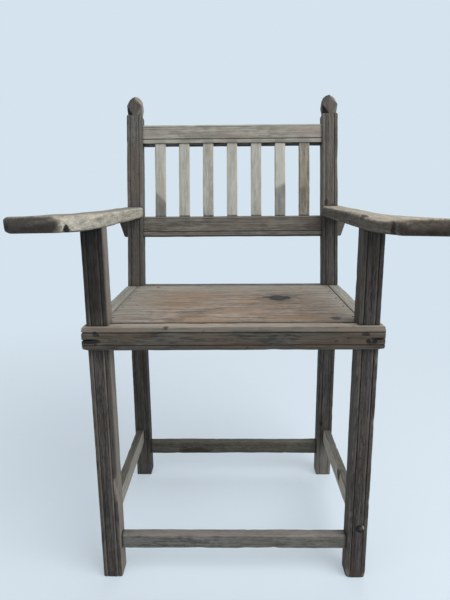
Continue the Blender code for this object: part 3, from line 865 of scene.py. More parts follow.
@dataclass(frozen=True)
class WoodFinish:
    """Old bare wood: weathered streaks, brown patches, rubbed edges and grime in the joints, with light and
    shade painted where the mesh's marks ask for it.
    """

    dark: str
    pale: str
    warm: str
    # edge and bleached are also the colours of painted light: on faces turned to the lamps and on the
    # grooves' lit lips.
    edge: str
    bleached: str
    warmth: float = 0.5
    edge_share: float = 0.7
    streaks: float = 1.0
    blotch: float = 0.12
    coarse: float = 1.0
    drawn: float = 1.0
    knot: str = "2b2622"
    # The dark colour of grime, real stains and painted shade.
    dirt_and_shade: str = "171412"

    TONE_REACH = 0.095
    RELIEF = 0.0011
    SPECULAR = 0.22

    def make(self, name: str, knots: tuple[tuple[Array, Knot], ...] = ()) -> Material:
        """Make the material.

        Args:
            name: its name.
            knots: the knots of the piece that wears it, each with its place in the wood.

        Returns:
            The material.
        """
        bench = Bench(bpy.data.materials.new(name))
        grain = bench.mark("grain", "Vector")
        close = bench.stretch(grain, (1.0 / self.coarse, 1.0 / self.coarse, 1.0 / self.drawn))
        fibre = bench.noise(close, (400.0, 400.0, 80.0), 5.0, 0.62)
        streak = bench.noise(close, (240.0, 240.0, 14.0), 4.0, 0.6)
        broad = bench.noise(grain, (60.0, 60.0, 7.0), 2.0, 0.5)
        speck = bench.noise(close, (290.0, 290.0, 150.0), 4.0, 0.6)
        swirl = bench.noise(grain, (26.0, 26.0, 1.4), 1.0, 0.4)
        figure = bench.sum("SINE", bench.sum("MULTIPLY", swirl, 70.0))
        patch = bench.noise(grain, (19.0, 19.0, 9.0), 3.0, 0.55)
        mottle = bench.noise(grain, (90.0, 90.0, 34.0), 4.0, 0.62)

        shares = (0.34, 0.36 * self.streaks, 0.5 * self.blotch, self.blotch, 0.14)
        tone = bench.sum("MULTIPLY", figure, 0.02)
        for part, share in zip((fibre, streak, broad, mottle, speck), shares):
            tone = bench.sum("ADD", tone, bench.sum("MULTIPLY", part, share))
        middle = sum(shares) / 2
        tone = bench.span(tone, middle - self.TONE_REACH, middle + self.TONE_REACH)
        colour = bench.blend(tone, tint(self.dark), tint(self.pale))
        brown = bench.sum("MULTIPLY", bench.span(patch, 0.4, 0.62), self.warmth)
        colour = bench.blend(brown, colour, tint(self.warm))

        # Bleached wood, and painted light on faces turned to the lamps, blend towards the pale colours.
        bleach = bench.mark("bleach")
        worn_out = bench.span(bench.sum("ADD", streak, mottle), 0.7, 1.15, 0.55, 1.0)
        pale = bench.blend(tone, tint(self.bleached), tint(self.edge))
        colour = bench.blend(bench.sum("MULTIPLY", bleach, worn_out), colour, pale)

        # Rubbed edges, and the painted highlight on the grooves' lit lips, blend towards the edge colour.
        rub = bench.sum("MULTIPLY", bench.mark("wear"), bench.span(mottle, 0.32, 0.6, 0.25, 1.0))
        colour = bench.blend(bench.sum("MULTIPLY", rub, self.edge_share), colour, tint(self.edge))

        split = bench.noise(grain, (230.0, 230.0, 3.6), 2.0, 0.5)
        near = bench.sum("ABSOLUTE", bench.sum("SUBTRACT", split, 0.5))
        crack = bench.span(near, 0.0, 0.016, 1.0, 0.0)
        crack = bench.sum("MULTIPLY", crack, bench.span(broad, 0.46, 0.6))
        colour = bench.blend(bench.sum("MULTIPLY", crack, 0.6 * self.streaks**2), colour, tint(self.knot))

        dots = bench.put("ShaderNodeTexVoronoi", bench.stretch(grain, (85.0, 85.0, 60.0)))
        dots.inputs["Scale"].default_value = 1.0
        dot = bench.span(dots.outputs["Distance"], 0.1, 0.2, 1.0, 0.0)
        dot = bench.sum("MULTIPLY", dot, bench.span(patch, 0.5, 0.62))
        colour = bench.blend(bench.sum("MULTIPLY", dot, 0.5 * self.streaks**2), colour, tint(self.knot))

        for centre, knot in knots:
            away = bench.put("ShaderNodeVectorMath", grain, tuple(centre), operation="SUBTRACT")
            shrunk = bench.stretch(away.outputs[0], tuple(1.0 / r for r in knot.reach))
            size = bench.put("ShaderNodeVectorMath", shrunk, operation="LENGTH")
            uneven = bench.sum("ADD", bench.sum("MULTIPLY", mottle, 1.3), bench.sum("MULTIPLY", fibre, 0.7))
            ragged = bench.sum("ADD", size.outputs["Value"], uneven)
            inside = bench.span(ragged, 2.35, 1.85)
            ring = bench.span(bench.sum("SINE", bench.sum("MULTIPLY", ragged, 30.0)), -1.0, 1.0, 0.85, 1.0)
            share = bench.sum("MULTIPLY", bench.sum("MULTIPLY", inside, ring), knot.strength)
            colour = bench.blend(share, colour, tint(self.knot))

        grime = bench.sum("MULTIPLY", bench.mark("grime"), bench.span(mottle, 0.3, 0.7, 0.5, 1.0))
        colour = bench.blend(bench.sum("MULTIPLY", grime, 0.6), colour, tint(self.knot))
        # Grooves darken with grime and with painted shade on the wall turned from the light.
        line = bench.sum("MULTIPLY", bench.mark("groove"), bench.span(streak, 0.3, 0.7, 0.6, 0.95))
        colour = bench.blend(line, colour, tint(self.dirt_and_shade))
        # Real stains and painted shade blend towards the dark colour.
        dirt_and_shade = bench.sum("MULTIPLY", bench.mark("stain"), bench.span(mottle, 0.3, 0.7, 0.7, 1.0))
        colour = bench.blend(dirt_and_shade, colour, tint(self.dirt_and_shade))
        end = bench.sum("MULTIPLY", bench.mark("end"), bench.span(figure, -1.0, 1.0, 0.25, 0.55))
        colour = bench.blend(end, colour, tint(self.knot))

        height = bench.sum("ADD", bench.sum("MULTIPLY", fibre, 0.5), bench.sum("MULTIPLY", streak, 0.5))
        height = bench.sum("SUBTRACT", height, bench.sum("MULTIPLY", crack, 0.6))
        height = bench.sum("SUBTRACT", height, bench.sum("MULTIPLY", dot, 0.4))
        dull = bench.sum("SUBTRACT", mottle, bench.sum("MULTIPLY", rub, 0.2))
        rough = bench.span(dull, 0.3, 0.7, 0.68, 0.92)
        return bench.shader(colour, rough, height, self.RELIEF, self.SPECULAR)


@dataclass(frozen=True)
class IronFinish:
    """Hand-made nails: dark iron with rust."""

    name: str = "rusty_iron"
    dark: str = "211f1d"
    rust: str = "3d3029"

    RELIEF = 0.0004
    SPECULAR = 0.4
    METAL = 0.35

    def make(self) -> Material:
        """Make the material.

        Returns:
            The material.
        """
        bench = Bench(bpy.data.materials.new(self.name))
        place = bench.put("ShaderNodeTexCoord").outputs["Object"]
        bloom = bench.noise(place, (900.0, 900.0, 900.0), 4.0, 0.65)
        pits = bench.noise(place, (2600.0, 2600.0, 2600.0), 3.0, 0.6)
        colour = bench.blend(bench.span(bloom, 0.42, 0.6), tint(self.dark), tint(self.rust))
        rough = bench.span(bloom, 0.35, 0.65, 0.55, 0.9)
        return bench.shader(colour, rough, pits, self.RELIEF, self.SPECULAR, self.METAL)


class Woods(Enum):
    """The woods of the chair, as each group of pieces has weathered."""

    FRONT_LEG = WoodFinish(
        "1f1d1b", "4b4845", "44392f", "787268", "857c74", 0.25, 0.65, coarse=0.65, drawn=1.3, knot="090807"
    )
    POST = WoodFinish("33322f", "64625e", "574c43", "7d7870", "989389", 0.45, 0.45, coarse=0.65, drawn=1.3)
    FRONT_RAIL = WoodFinish(
        "262521", "54514b", "524538", "8e867c", "b0a699", 0.5, 0.25, 1.0, 0.24, 0.75, 1.5, "0f0d0c"
    )
    SEAT_RAIL = WoodFinish("74736b", "a4a39b", "88806f", "a5a39a", "9c9a92", 0.4, 0.3, 0.6)
    SEAT_BOARD = WoodFinish(
        "665b50", "a89b8e", "937b64", "9a958b", "86847c", 0.7, 0.3, 1.2, 0.24, 1.7, 1.5, "26272b"
    )
    TOP_RAIL = WoodFinish(
        "6d6b64", "9b988e", "847a74", "a7a99a", "9c9d92", 0.5, 0.4, 0.6, 0.26, 0.6, 2.5, dirt_and_shade="0d0c0b"
    )
    LOWER_RAIL = WoodFinish("43413d", "747169", "60564f", "8a8880", "8b8a83", 0.5, 0.35, 0.6, 0.26, 0.6, 2.5)
    SLAT = WoodFinish("7d7c74", "abaaa2", "8f887c", "b3b2aa", "b0afa7", 0.35, 0.4, 0.6, 0.05, 0.7, 2.0)
    BROWN_SLAT = WoodFinish("625d52", "928d82", "7b7262", "9c968a", "98917f", 0.4, 0.4, 0.9, 0.1)
    LEFT_ARM = WoodFinish("34332f", "64625a", "615950", "bbb3a4", "9b988c", 0.3, 0.6, 0.5, 0.24)
    RIGHT_ARM = WoodFinish(
        "38352f", "6a665e", "635a50", "b9ae9e", "9a9181", 0.4, 0.7, 0.6, 0.24, knot="33251c"
    )
    FRONT_STRETCHER = WoodFinish("383834", "6d6d69", "615a52", "827c76", "787370", 0.35, 0.4, 0.5, 0.24, 0.7)
    SIDE_STRETCHER = WoodFinish("4c4b45", "7d7b74", "6b655d", "a8a499", "b0a99d", 0.35, 0.4, 0.7, coarse=0.7)
    REAR_STRETCHER = WoodFinish("33322b", "5e5c54", "50483f", "6a675f", "615f57", 0.4, 0.3, 0.4, 0.2, 0.7)
    HIDDEN = WoodFinish("4f483f", "7d756a", "6d5f51", "8b8377", "8b8377", 0.5)

    def make(self, knots: tuple[tuple[Array, Knot], ...] = ()) -> Material:
        """Make the wood's material."""
        return self.value.make(self.name.lower() + "_wood", knots)


class Workshop:
    """Carries pieces from the chair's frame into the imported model, and dresses them."""

    GRIME_REACH = 0.0045
    GRIME_FALL = 1.6
    GRAIN_SPREAD = 1.2
    END_GRAIN = (0.72, 0.92)
    SHARP = math.radians(38.0)

    def __init__(self, nodes: dict[str, Solid]) -> None:
        """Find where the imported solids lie.

        Args:
            nodes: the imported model's solids.
        """
        self.nodes = nodes
        low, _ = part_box("front_leg_left")
        self.shift = np.array((low.x + LAYOUT.outside, low.y, 0.0))
        self.trees = {name: self.surface(node) for name, node in nodes.items()}
        self.boxes = {name: [np.array(corner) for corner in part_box(name)] for name in nodes}
        self.plain: dict[str, Material] = {}

    @staticmethod
    def rows(items: bpy.types.bpy_prop_collection, key: str) -> Array:
        """Read vectors of a mesh.

        Args:
            items: its points or normals.
            key: the name of their vectors.

        Returns:
            One row for each.
        """
        flat = np.empty(len(items) * 3, np.float32)
        items.foreach_get(key, flat)
        return flat.reshape(-1, 3)

    @staticmethod
    def surface(node: Solid) -> BVHTree:
        """Return a solid's surface, for distances to it."""
        points = [v.co for v in node.data.vertices]
        return BVHTree.FromPolygons(points, [p.vertices for p in node.data.polygons])

    def grime(self, points: Array, own: str) -> Array:
        """Work out where grime gathers beside the other solids.

        Args:
            points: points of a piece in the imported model's frame.
            own: the solid that the piece stands for.

        Returns:
            1 at a joint, falling to 0 away from it.
        """
        low, high = points.min(0) - self.GRIME_REACH, points.max(0) + self.GRIME_REACH
        close = []
        for name, (start, end) in self.boxes.items():
            if name != own and not any(word in name for word in ("nail", "peg", own.rpartition("_")[0])):
                if (start < high).all() and (end > low).all():
                    close.append(self.trees[name])
        result = np.zeros(len(points))
        for i, point in enumerate(points):
            best = self.GRIME_REACH
            for tree in close:
                found = tree.find_nearest(Vector(point), best)
                if found[0] is not None:
                    best = found[3]
            result[i] = 1.0 - best / self.GRIME_REACH
        return result**self.GRIME_FALL

    def dress(
        self,
        piece: Solid,
        node: str,
        slot: Slot,
        lay: Lay,
        wood: Woods,
        shade: Shade | None = None,
        knots: tuple[Knot, ...] = (),
        stain: Shade | None = None,
    ) -> None:
        """Move a wooden piece into the model's frame, mark it, give it its finish and attach it.

        Args:
            piece: the piece, in the chair's frame.
            node: the solid that it stands for.
            slot: its material slot.
            lay: where its wood lies.
            wood: its finish.
            shade: where it is bleached and where light is painted on it, from points and normals in the
                chair's frame.
            knots: its knots.
            stain: where it is stained and where shade is painted on it, in the same way.
        """
        mesh = piece.data
        points = self.rows(mesh.vertices, "co").astype(float)
        normals = self.rows(mesh.vertex_normals, "vector")
        dice = random.Random(node + " grain")
        offset = np.array([dice.uniform(-self.GRAIN_SPREAD, self.GRAIN_SPREAD) for _ in range(3)])
        mark(piece, "grain", lay.grain(points) + offset)
        across = np.abs(self.rows(mesh.polygon_normals, "vector") @ lay.heading())
        mark(piece, "end", eased(*self.END_GRAIN, across), "FACE")
        # The marks hold real bleaching and real stains together with painted light and painted shade.
        for name, field_of in (("bleach", shade), ("stain", stain)):
            values = np.zeros(len(points)) if field_of is None else field_of(points, normals)
            mark(piece, name, np.clip(values, 0.0, 1.0))
        moved = points + self.shift
        mark(piece, "grime", self.grime(moved, node))
        mesh.vertices.foreach_set("co", moved.astype(np.float32).reshape(-1))
        placed = tuple((lay.grain(np.array([knot.at]))[0] + offset, knot) for knot in knots)
        if placed:
            material = wood.make(placed)
        else:
            material = self.plain.get(wood.name) or self.plain.setdefault(wood.name, wood.make())
        self.attach(piece, node, slot, material)

    def attach(self, piece: Solid, node: str, slot: Slot, material: Material) -> None:
        """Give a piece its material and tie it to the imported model.

        Args:
            piece: the piece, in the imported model's frame.
            node: the solid that it stands for.
            slot: its material slot.
            material: its material.
        """
        mesh = piece.data
        mesh.materials.clear()
        mesh.materials.append(material)
        mesh.shade_smooth()
        mesh.set_sharp_from_angle(angle=self.SHARP)
        mesh.update()
        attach(piece, "root")
        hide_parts(node)
        LOG.info("%s: %d faces for %s", piece.name, len(mesh.polygons), node)


def facing(direction: Triple, strength: float = 1.0, rest: float = 0.0) -> Shade:
    """Make a shade that lightens the faces turned one way.

    Args:
        direction: the way that they face.
        strength: how much lighter they are.
        rest: how bleached the other faces are.

    Returns:
        The shade.
    """

    def shade(points: Array, normals: Array) -> Array:
        """Lighten by the normal."""
        return rest + (strength - rest) * eased(0.35, 0.85, normals @ np.array(direction))

    return shade


@dataclass
class Legs:
    """The two front legs and the two bent rear legs with their finials."""

    shop: Workshop
    arris: float = 0.0016
    bead: float = 0.0078
    foot_round: float = 0.0026
    post_rise: float = 0.389
    into_arm: float = 0.003
    rail_floor: float = 0.4405
    rail_lap: float = 0.018
    tool_room: float = 0.01
    lap_gap: float = 0.0001
    finial_width: float = 0.033
    finial_height: float = 0.0444
    finial_corner: float = 0.0200
    finial_brow: float = 0.0328
    finial_swell: float = 0.0126
    finial_swell_rise: float = 0.0397
    finial_flat: float = 0.0062
    finial_edge: float = 0.0011
    finial_cuts: int = 7
    finial_root: float = 0.004
    finial_rough: float = 0.00015
    finial_wave: float = 0.012
    finial_taper: float = 0.97
    finial_rub: float = 0.4
    left_gouges: tuple[Gouge, ...] = (
        Gouge(Corner.FAR_LOW, 0.150, 0.203, 0.0050, 0.045, 0.005),
        Gouge(Corner.FAR_LOW, 0.190, 0.4405, 0.0007, 0.03),
    )
    right_gouges: tuple[Gouge, ...] = (
        Gouge(Corner.NEAR_LOW, -0.02, 0.022, 0.0025, 0.02),
        Gouge(Corner.FAR_LOW, -0.02, 0.014, 0.0015, 0.012),
        Gouge(Corner.NEAR_LOW, 0.125, 0.137, 0.0022, 0.006),
    )
    post_gouges: tuple[Gouge, ...] = (
        Gouge(Corner.NEAR_LOW, 0.60, 0.72, 0.0005, 0.05),
        Gouge(Corner.FAR_LOW, 0.70, 0.80, 0.0006, 0.04),
    )
    mortise: tuple[Knot, ...] = (Knot((0.2250, 0.0, 0.1026), (0.0066, 0.006, 0.0066), 1.0),)
    marks: tuple[Knot, ...] = (
        Knot((0.2135, 0.376, 0.663), (0.0045, 0.01, 0.007), 0.8),
        Knot((0.2260, 0.374, 0.655), (0.003, 0.01, 0.005), 0.7),
        Knot((0.2130, 0.339, 0.137), (0.004, 0.006, 0.006), 0.9),
    )

    MIRROR = np.array((-1.0, 1.0, 1.0))
    # ROOF faces like the finial's upper right facets and UNDERCUT like its lower right cut; these get
    # painted light, and their mirror images on the left get painted shade.
    ROOF = np.array((0.8, 0.1, 0.59))
    UNDERCUT = np.array((0.615, -0.70, -0.362))
    FLAT = 0.02

    def outline(self) -> Outline:
        """Return a leg's cross-section, with its front face low and two beads scratched on it."""
        lines = (Groove(Flank.LOW, self.bead), Groove(Flank.LOW, LAYOUT.leg - self.bead))
        return Outline(LAYOUT.leg, LAYOUT.leg, (self.arris,) * 4, grooves=lines)

    def front(self, side: Side) -> None:
        """Make a front leg, let in for the front rail.

        Args:
            side: which leg it is.
        """
        start = side.value * LAYOUT.leg_centre - LAYOUT.leg / 2
        top = float(LAYOUT.arm_underside(side, np.array(0.0))) + self.into_arm
        lay = Straight((start, 0.0, 0.0), ACROSS, DEEP, UP)
        node = "front_leg_" + side.word
        gouges = side.pick(self.left_gouges, self.right_gouges)
        wear = Wear(end_round=self.foot_round)
        piece = Timber(node, self.outline(), top, lay, wear, gouges, pace=0.0045).make()
        fade(piece, "groove", 0.0, 0.12)
        low = (start - self.tool_room, -self.tool_room, self.rail_floor)
        high = (start + LAYOUT.leg + self.tool_room, self.rail_lap, LAYOUT.seat + self.lap_gap)
        work_solid(piece, block(low, high), Cut.AWAY)

        def stain(points: Array, normals: Array) -> Array:
            """Darken the front above the seat, most on the left leg, and the left leg's inner arris.

            Args:
                points: places on the piece.
                normals: the ways that they face.

            Returns:
                How dark each place is.
            """
            height = points[:, 2]
            ahead = eased(0.5, 0.8, -normals[:, 1])
            front_above_seat = side.pick(0.9, 0.3) * eased(0.46, 0.52, height) * ahead
            if side is Side.RIGHT:
                return front_above_seat
            away = np.hypot(points[:, 0] + LAYOUT.inside, points[:, 1])
            return np.maximum(front_above_seat, 0.7 * eased(0.0065, 0.003, away) * eased(0.2, 0.215, height))

        # Painted light on the left leg's inner side, which faces the light from the right; the right leg's
        # inner side is lightened a little.
        shade = side.pick(facing(ACROSS), facing((-1.0, 0.0, 0.0), 0.15))
        knots = side.pick((), self.mortise)
        self.shop.dress(piece, node, Slot.LEG, lay, Woods.FRONT_LEG, shade, knots, stain)

    def finial(self, side: Side) -> Solid:
        """Make a worn finial: four upright faces, cut away at the lower corners, under a steep roof.

        Args:
            side: which rear leg carries it.

        Returns:
            The finial, with a short root to weld it on by.
        """
        half = self.finial_width / 2
        work = bmesh.new()
        middle = side.value * LAYOUT.leg_centre
        profile = (
            (half * self.finial_taper, -self.finial_root),
            (half, 0.0),
            (half, self.finial_brow),
            (self.finial_swell, self.finial_swell_rise),
            (self.finial_flat, self.finial_height),
        )
        for x, y in ((1, 0), (0, 1), (-1, 0), (0, -1)):
            spots = [(x * reach, y * reach, rise) for reach, rise in profile]
            spots.append(((x - y) * half, (x + y) * half, self.finial_corner))
            for across, deep, rise in spots:
                work.verts.new(LAYOUT.raked(middle + across, LAYOUT.leg / 2 + deep, self.post_rise + rise))
        hull = bmesh.ops.convex_hull(work, input=work.verts)
        bmesh.ops.delete(work, geom=hull["geom_interior"] + hull["geom_unused"], context="VERTS")
        bmesh.ops.dissolve_limit(work, angle_limit=self.FLAT, verts=work.verts, edges=work.edges)
        ridges = np.array([[tuple(v.co) for v in edge.verts] for edge in work.edges])
        bmesh.ops.triangulate(work, faces=work.faces)
        bmesh.ops.subdivide_edges(work, edges=work.edges[:], cuts=self.finial_cuts, use_grid_fill=True)
        bmesh.ops.recalc_face_normals(work, faces=work.faces)
        work.normal_update()
        ripple = Ripple(random.Random("finial " + side.word), (self.finial_wave,) * 3)
        for vertex in work.verts:
            vertex.co += vertex.normal * float(ripple(np.array(vertex.co))) * self.finial_rough
        made = new_object("finial", [], [])
        work.to_mesh(made.data)
        work.free()
        points = np.array([tuple(v.co) for v in made.data.vertices])
        run = ridges[:, 1] - ridges[:, 0]
        share = np.einsum("pkd,kd->pk", points[:, None] - ridges[None, :, 0], run) / (run**2).sum(-1)
        foot = ridges[None, :, 0] + np.clip(share, 0.0, 1.0)[..., None] * run
        away = np.linalg.norm(points[:, None] - foot, axis=-1).min(1)
        mark(made, "wear", self.finial_rub * np.exp(-((away / self.finial_edge) ** 2)))
        return made

    def rear(self, side: Side) -> None:
        """Make a rear leg: upright to the seat, then raked, with its finial.

        Args:
            side: which leg it is.
        """
        lay = Bent(side.value * LAYOUT.leg_centre - LAYOUT.leg / 2)
        node = "rear_leg_" + side.word
        wear = Wear(end_round=self.foot_round)
        length = LAYOUT.seat + self.post_rise
        piece = Timber(node, self.outline(), length, lay, wear, self.post_gouges, pace=0.0048).make()
        fade(piece, "groove", 0.44, 0.50, 0.15)
        fade(piece, "wear", 0.40, 0.50, 0.4)
        work_solid(piece, self.finial(side), Cut.ON)

        def shade(points: Array, normals: Array) -> Array:
            """Bleach the inner face and the right leg's foot, and paint light on the finial's upper right
            facets and lower right cut.

            Args:
                points: places on the piece.
                normals: the ways that they face.

            Returns:
                How bleached each place is.
            """
            inner = eased(0.35, 0.85, normals @ np.array((-side.value, 0.0, 0.0)))
            foot = eased(0.15, 0.04, points[:, 2]) * side.pick(0.1, 0.45)
            crown = eased(0.0, 0.002, lay.grain(points)[:, 2] - length)
            # Painted light on the finial's facets turned to the light.
            lit = 0.95 * crown * eased(0.6, 0.7, normals @ self.ROOF)
            lit = np.maximum(lit, 0.5 * crown * eased(0.85, 0.97, normals @ self.UNDERCUT))
            return np.maximum(np.maximum(0.2 * inner * eased(0.4, 0.6, points[:, 2]), foot), lit)

        def stain(points: Array, normals: Array) -> Array:
            """Darken the post below the arm and the leg below the seat, down to its foot, with grime and
            painted shade; paint shade on the finial's lower left cut and upper left facets, and darken the
            left finial's front.

            Args:
                points: places on the piece.
                normals: the ways that they face.

            Returns:
                How dark each place is.
            """
            height = points[:, 2]
            arm, seat = side.pick((0.34, 0.25), (0.56, 0.08))
            # Painted shade below the arm and below the seat, with some grime.
            low = arm * eased(0.66, 0.60, height) + seat * eased(0.50, 0.42, height)
            low = low * (1.0 - eased(0.15, 0.04, height) * side.pick(0.1, 0.8))
            crown = eased(0.0, 0.002, lay.grain(points)[:, 2] - length)
            # Painted shade on the finial's facets turned from the light.
            under = eased(0.74, 0.86, normals @ (self.UNDERCUT * self.MIRROR))
            shady = side.pick(0.45, 0.1) * eased(0.6, 0.7, normals @ (self.ROOF * self.MIRROR))
            front = side.pick(0.22, 0.0) * eased(0.6, 0.9, -normals[:, 1])
            return np.maximum(low, crown * np.maximum(np.maximum(0.95 * under, shady), front))

        self.shop.dress(piece, node, Slot.LEG, lay, Woods.POST, shade, side.pick((), self.marks), stain)

    def build(self) -> None:
        """Make all four legs."""
        for side in Side:
            self.front(side)
            self.rear(side)


@dataclass
class SeatFrame:
    """The four rails under and round the seat, and the cleats that carry its boards."""

    shop: Workshop
    floor: float = 0.4405
    height: float = 0.038
    proud: float = 0.012
    lap: float = 0.018
    overhang: float = 0.0065
    front_radii: Radii = (0.002, 0.0008, 0.0008, 0.0058)
    bead: float = 0.0085
    side_inside: float = 0.217
    side_thickness: float = 0.026
    rear_start: float = 0.345
    rear_thickness: float = 0.022
    rear_height: float = 0.040
    board_floor: float = 0.4625
    gap: float = 0.0003
    cleat: float = 0.018
    edge: float = 0.0015
    left_radii: Radii = (0.0015, 0.003, 0.001, 0.0015)
    right_radii: Radii = (0.0015, 0.001, 0.003, 0.0015)
    wear: Wear = Wear(end_round=0.0004)
    front_wear: Wear = Wear(0.0002, (0.04, 0.04, 0.14), 0.0005, 0.0010, 12.0, 0.0020)
    front_gouges: tuple[Gouge, ...] = (
        Gouge(Corner.NEAR_LOW, -0.02, 0.010, 0.0025, 0.008),
        Gouge(Corner.NEAR_LOW, 0.478, 0.52, 0.0016, 0.012),
        Gouge(Corner.NEAR_HIGH, -0.02, 0.014, 0.0020, 0.010),
        Gouge(Corner.NEAR_HIGH, 0.462, 0.52, 0.0012, 0.02),
    )
    split_depth: float = 0.009
    split_tip: float = 0.00015
    split_drift: float = 0.0012
    split_room: float = 0.001
    splits: tuple[tuple[Side, float, float, float], ...] = (
        (Side.LEFT, 0.0168, 0.026, 0.0036),
        (Side.LEFT, 0.0298, 0.008, 0.0040),
        (Side.RIGHT, 0.0182, 0.019, 0.0022),
        (Side.RIGHT, 0.0086, 0.006, 0.0018),
    )
    spots: tuple[Knot, ...] = (
        Knot((0.2180, -0.012, 0.4558), (0.006, 0.0034, 0.0034), 1.0),
        Knot((0.2282, -0.012, 0.4552), (0.006, 0.0032, 0.0036), 1.0),
        Knot((0.2130, -0.012, 0.4670), (0.006, 0.0026, 0.0070), 0.8),
        Knot((0.2330, -0.012, 0.4592), (0.006, 0.0022, 0.0110), 1.0),
        Knot((-0.2229, -0.012, 0.4690), (0.006, 0.0040, 0.0040), 0.75),
        Knot((-0.1080, -0.005, 0.4785), (0.005, 0.0060, 0.0040), 0.75),
        Knot((-0.2290, -0.012, 0.4566), (0.006, 0.0042, 0.0150), 0.9),
    )

    def front(self) -> None:
        """Make the beaded front rail, worn along its top and chipped at its ends."""
        half = LAYOUT.outside + self.overhang
        lines = (Groove(Flank.NEAR, self.bead), Groove(Flank.NEAR, self.height - self.bead))
        outline = Outline(self.proud + self.lap, self.height, self.front_radii, step=0.0024, grooves=lines)
        lay = Straight((-half, -self.proud, self.floor), DEEP, UP, ACROSS)
        node = "front_seat_rail"
        piece = Timber(node, outline, 2 * half, lay, self.front_wear, self.front_gouges, pace=0.004).make()
        for end, rise, run, mouth in self.splits:
            work_solid(piece, self.split(end, half, rise, run, mouth), Cut.AWAY)

        def shade(points: Array, normals: Array) -> Array:
            """Bleach the top and its worn front edge."""
            top = eased(0.68, 0.97, normals[:, 2]) * eased(-0.010, -0.005, points[:, 1])
            return np.maximum(top, 0.26 * eased(self.floor + 0.0305, self.floor + 0.032, points[:, 2]))

        def stain(points: Array, normals: Array) -> Array:
            """Darken the lower bead."""
            return 0.34 * eased(self.floor + 0.0095, self.floor + 0.006, points[:, 2])

        self.shop.dress(piece, node, Slot.RAIL, lay, Woods.FRONT_RAIL, shade, self.spots, stain)

    def split(self, end: Side, half: float, rise: float, run: float, mouth: float) -> Solid:
        """Make a drying split in an end of the front rail.

        Args:
            end: which end it is in.
            half: half the rail's length.
            rise: how high it is above the rail's underside.
            run: how far it runs in from the end.
            mouth: how wide it gapes at the end.

        Returns:
            The solid to cut away.
        """
        rings = []
        ends = ((half + self.split_room, mouth, 0.0), (half - run, self.split_tip, self.split_drift))
        for x, gape, drift in ends:
            middle = self.floor + rise + drift
            low, high = middle - gape / 2, middle + gape / 2
            depths = (-self.proud - 4 * self.split_room, -self.proud + self.split_depth)
            spots = ((depths[0], low), (depths[1], low), (depths[1], high), (depths[0], high))
            rings.append([(end.value * x, y, z) for y, z in spots])
        return prism(*rings)

    def side(self, side: Side) -> None:
        """Make a side rail, its top flush with the seat.

        Args:
            side: which rail it is.
        """
        near = side.pick(-self.side_inside - self.side_thickness, self.side_inside)
        outline = Outline(self.height, self.side_thickness, side.pick(self.left_radii, self.right_radii))
        lay = Straight((near, LAYOUT.leg, self.floor), UP, ACROSS, DEEP)
        node = "side_seat_rail_" + side.word
        piece = Timber(node, outline, LAYOUT.depth - LAYOUT.leg, lay, self.wear).make()
        self.shop.dress(piece, node, Slot.RAIL, lay, Woods.SEAT_RAIL)

    def rear(self) -> None:
        """Make the rear rail under the rear board."""
        outline = Outline(self.rear_thickness, self.rear_height, (self.edge,) * 4)
        start = self.board_floor - self.gap - self.rear_height
        lay = Straight((-LAYOUT.inside, self.rear_start, start), DEEP, UP, ACROSS)
        piece = Timber("rear_seat_rail", outline, 2 * LAYOUT.inside, lay, self.wear).make()
        self.shop.dress(piece, "rear_seat_rail", Slot.RAIL, lay, Woods.SEAT_RAIL)

    def cleats(self, side: Side) -> None:
        """Make a cleat inside a side rail.

        Args:
            side: which cleat it is.
        """
        edge = self.side_inside - self.gap
        near = side.pick(-edge, edge - self.cleat)
        start = self.board_floor - self.gap - self.cleat
        lay = Straight((near, LAYOUT.leg, start), UP, ACROSS, DEEP)
        outline = Outline(self.cleat, self.cleat, (self.edge,) * 4, step=0.004)
        node = "seat_cleat_" + side.word
        piece = Timber(node, outline, LAYOUT.depth - LAYOUT.leg, lay, self.wear, pace=0.008).make()
        self.shop.dress(piece, node, Slot.HIDDEN, lay, Woods.HIDDEN)

    def build(self) -> None:
        """Make the rails and the cleats."""
        self.front()
        self.rear()
        for side in Side:
            self.side(side)
            self.cleats(side)


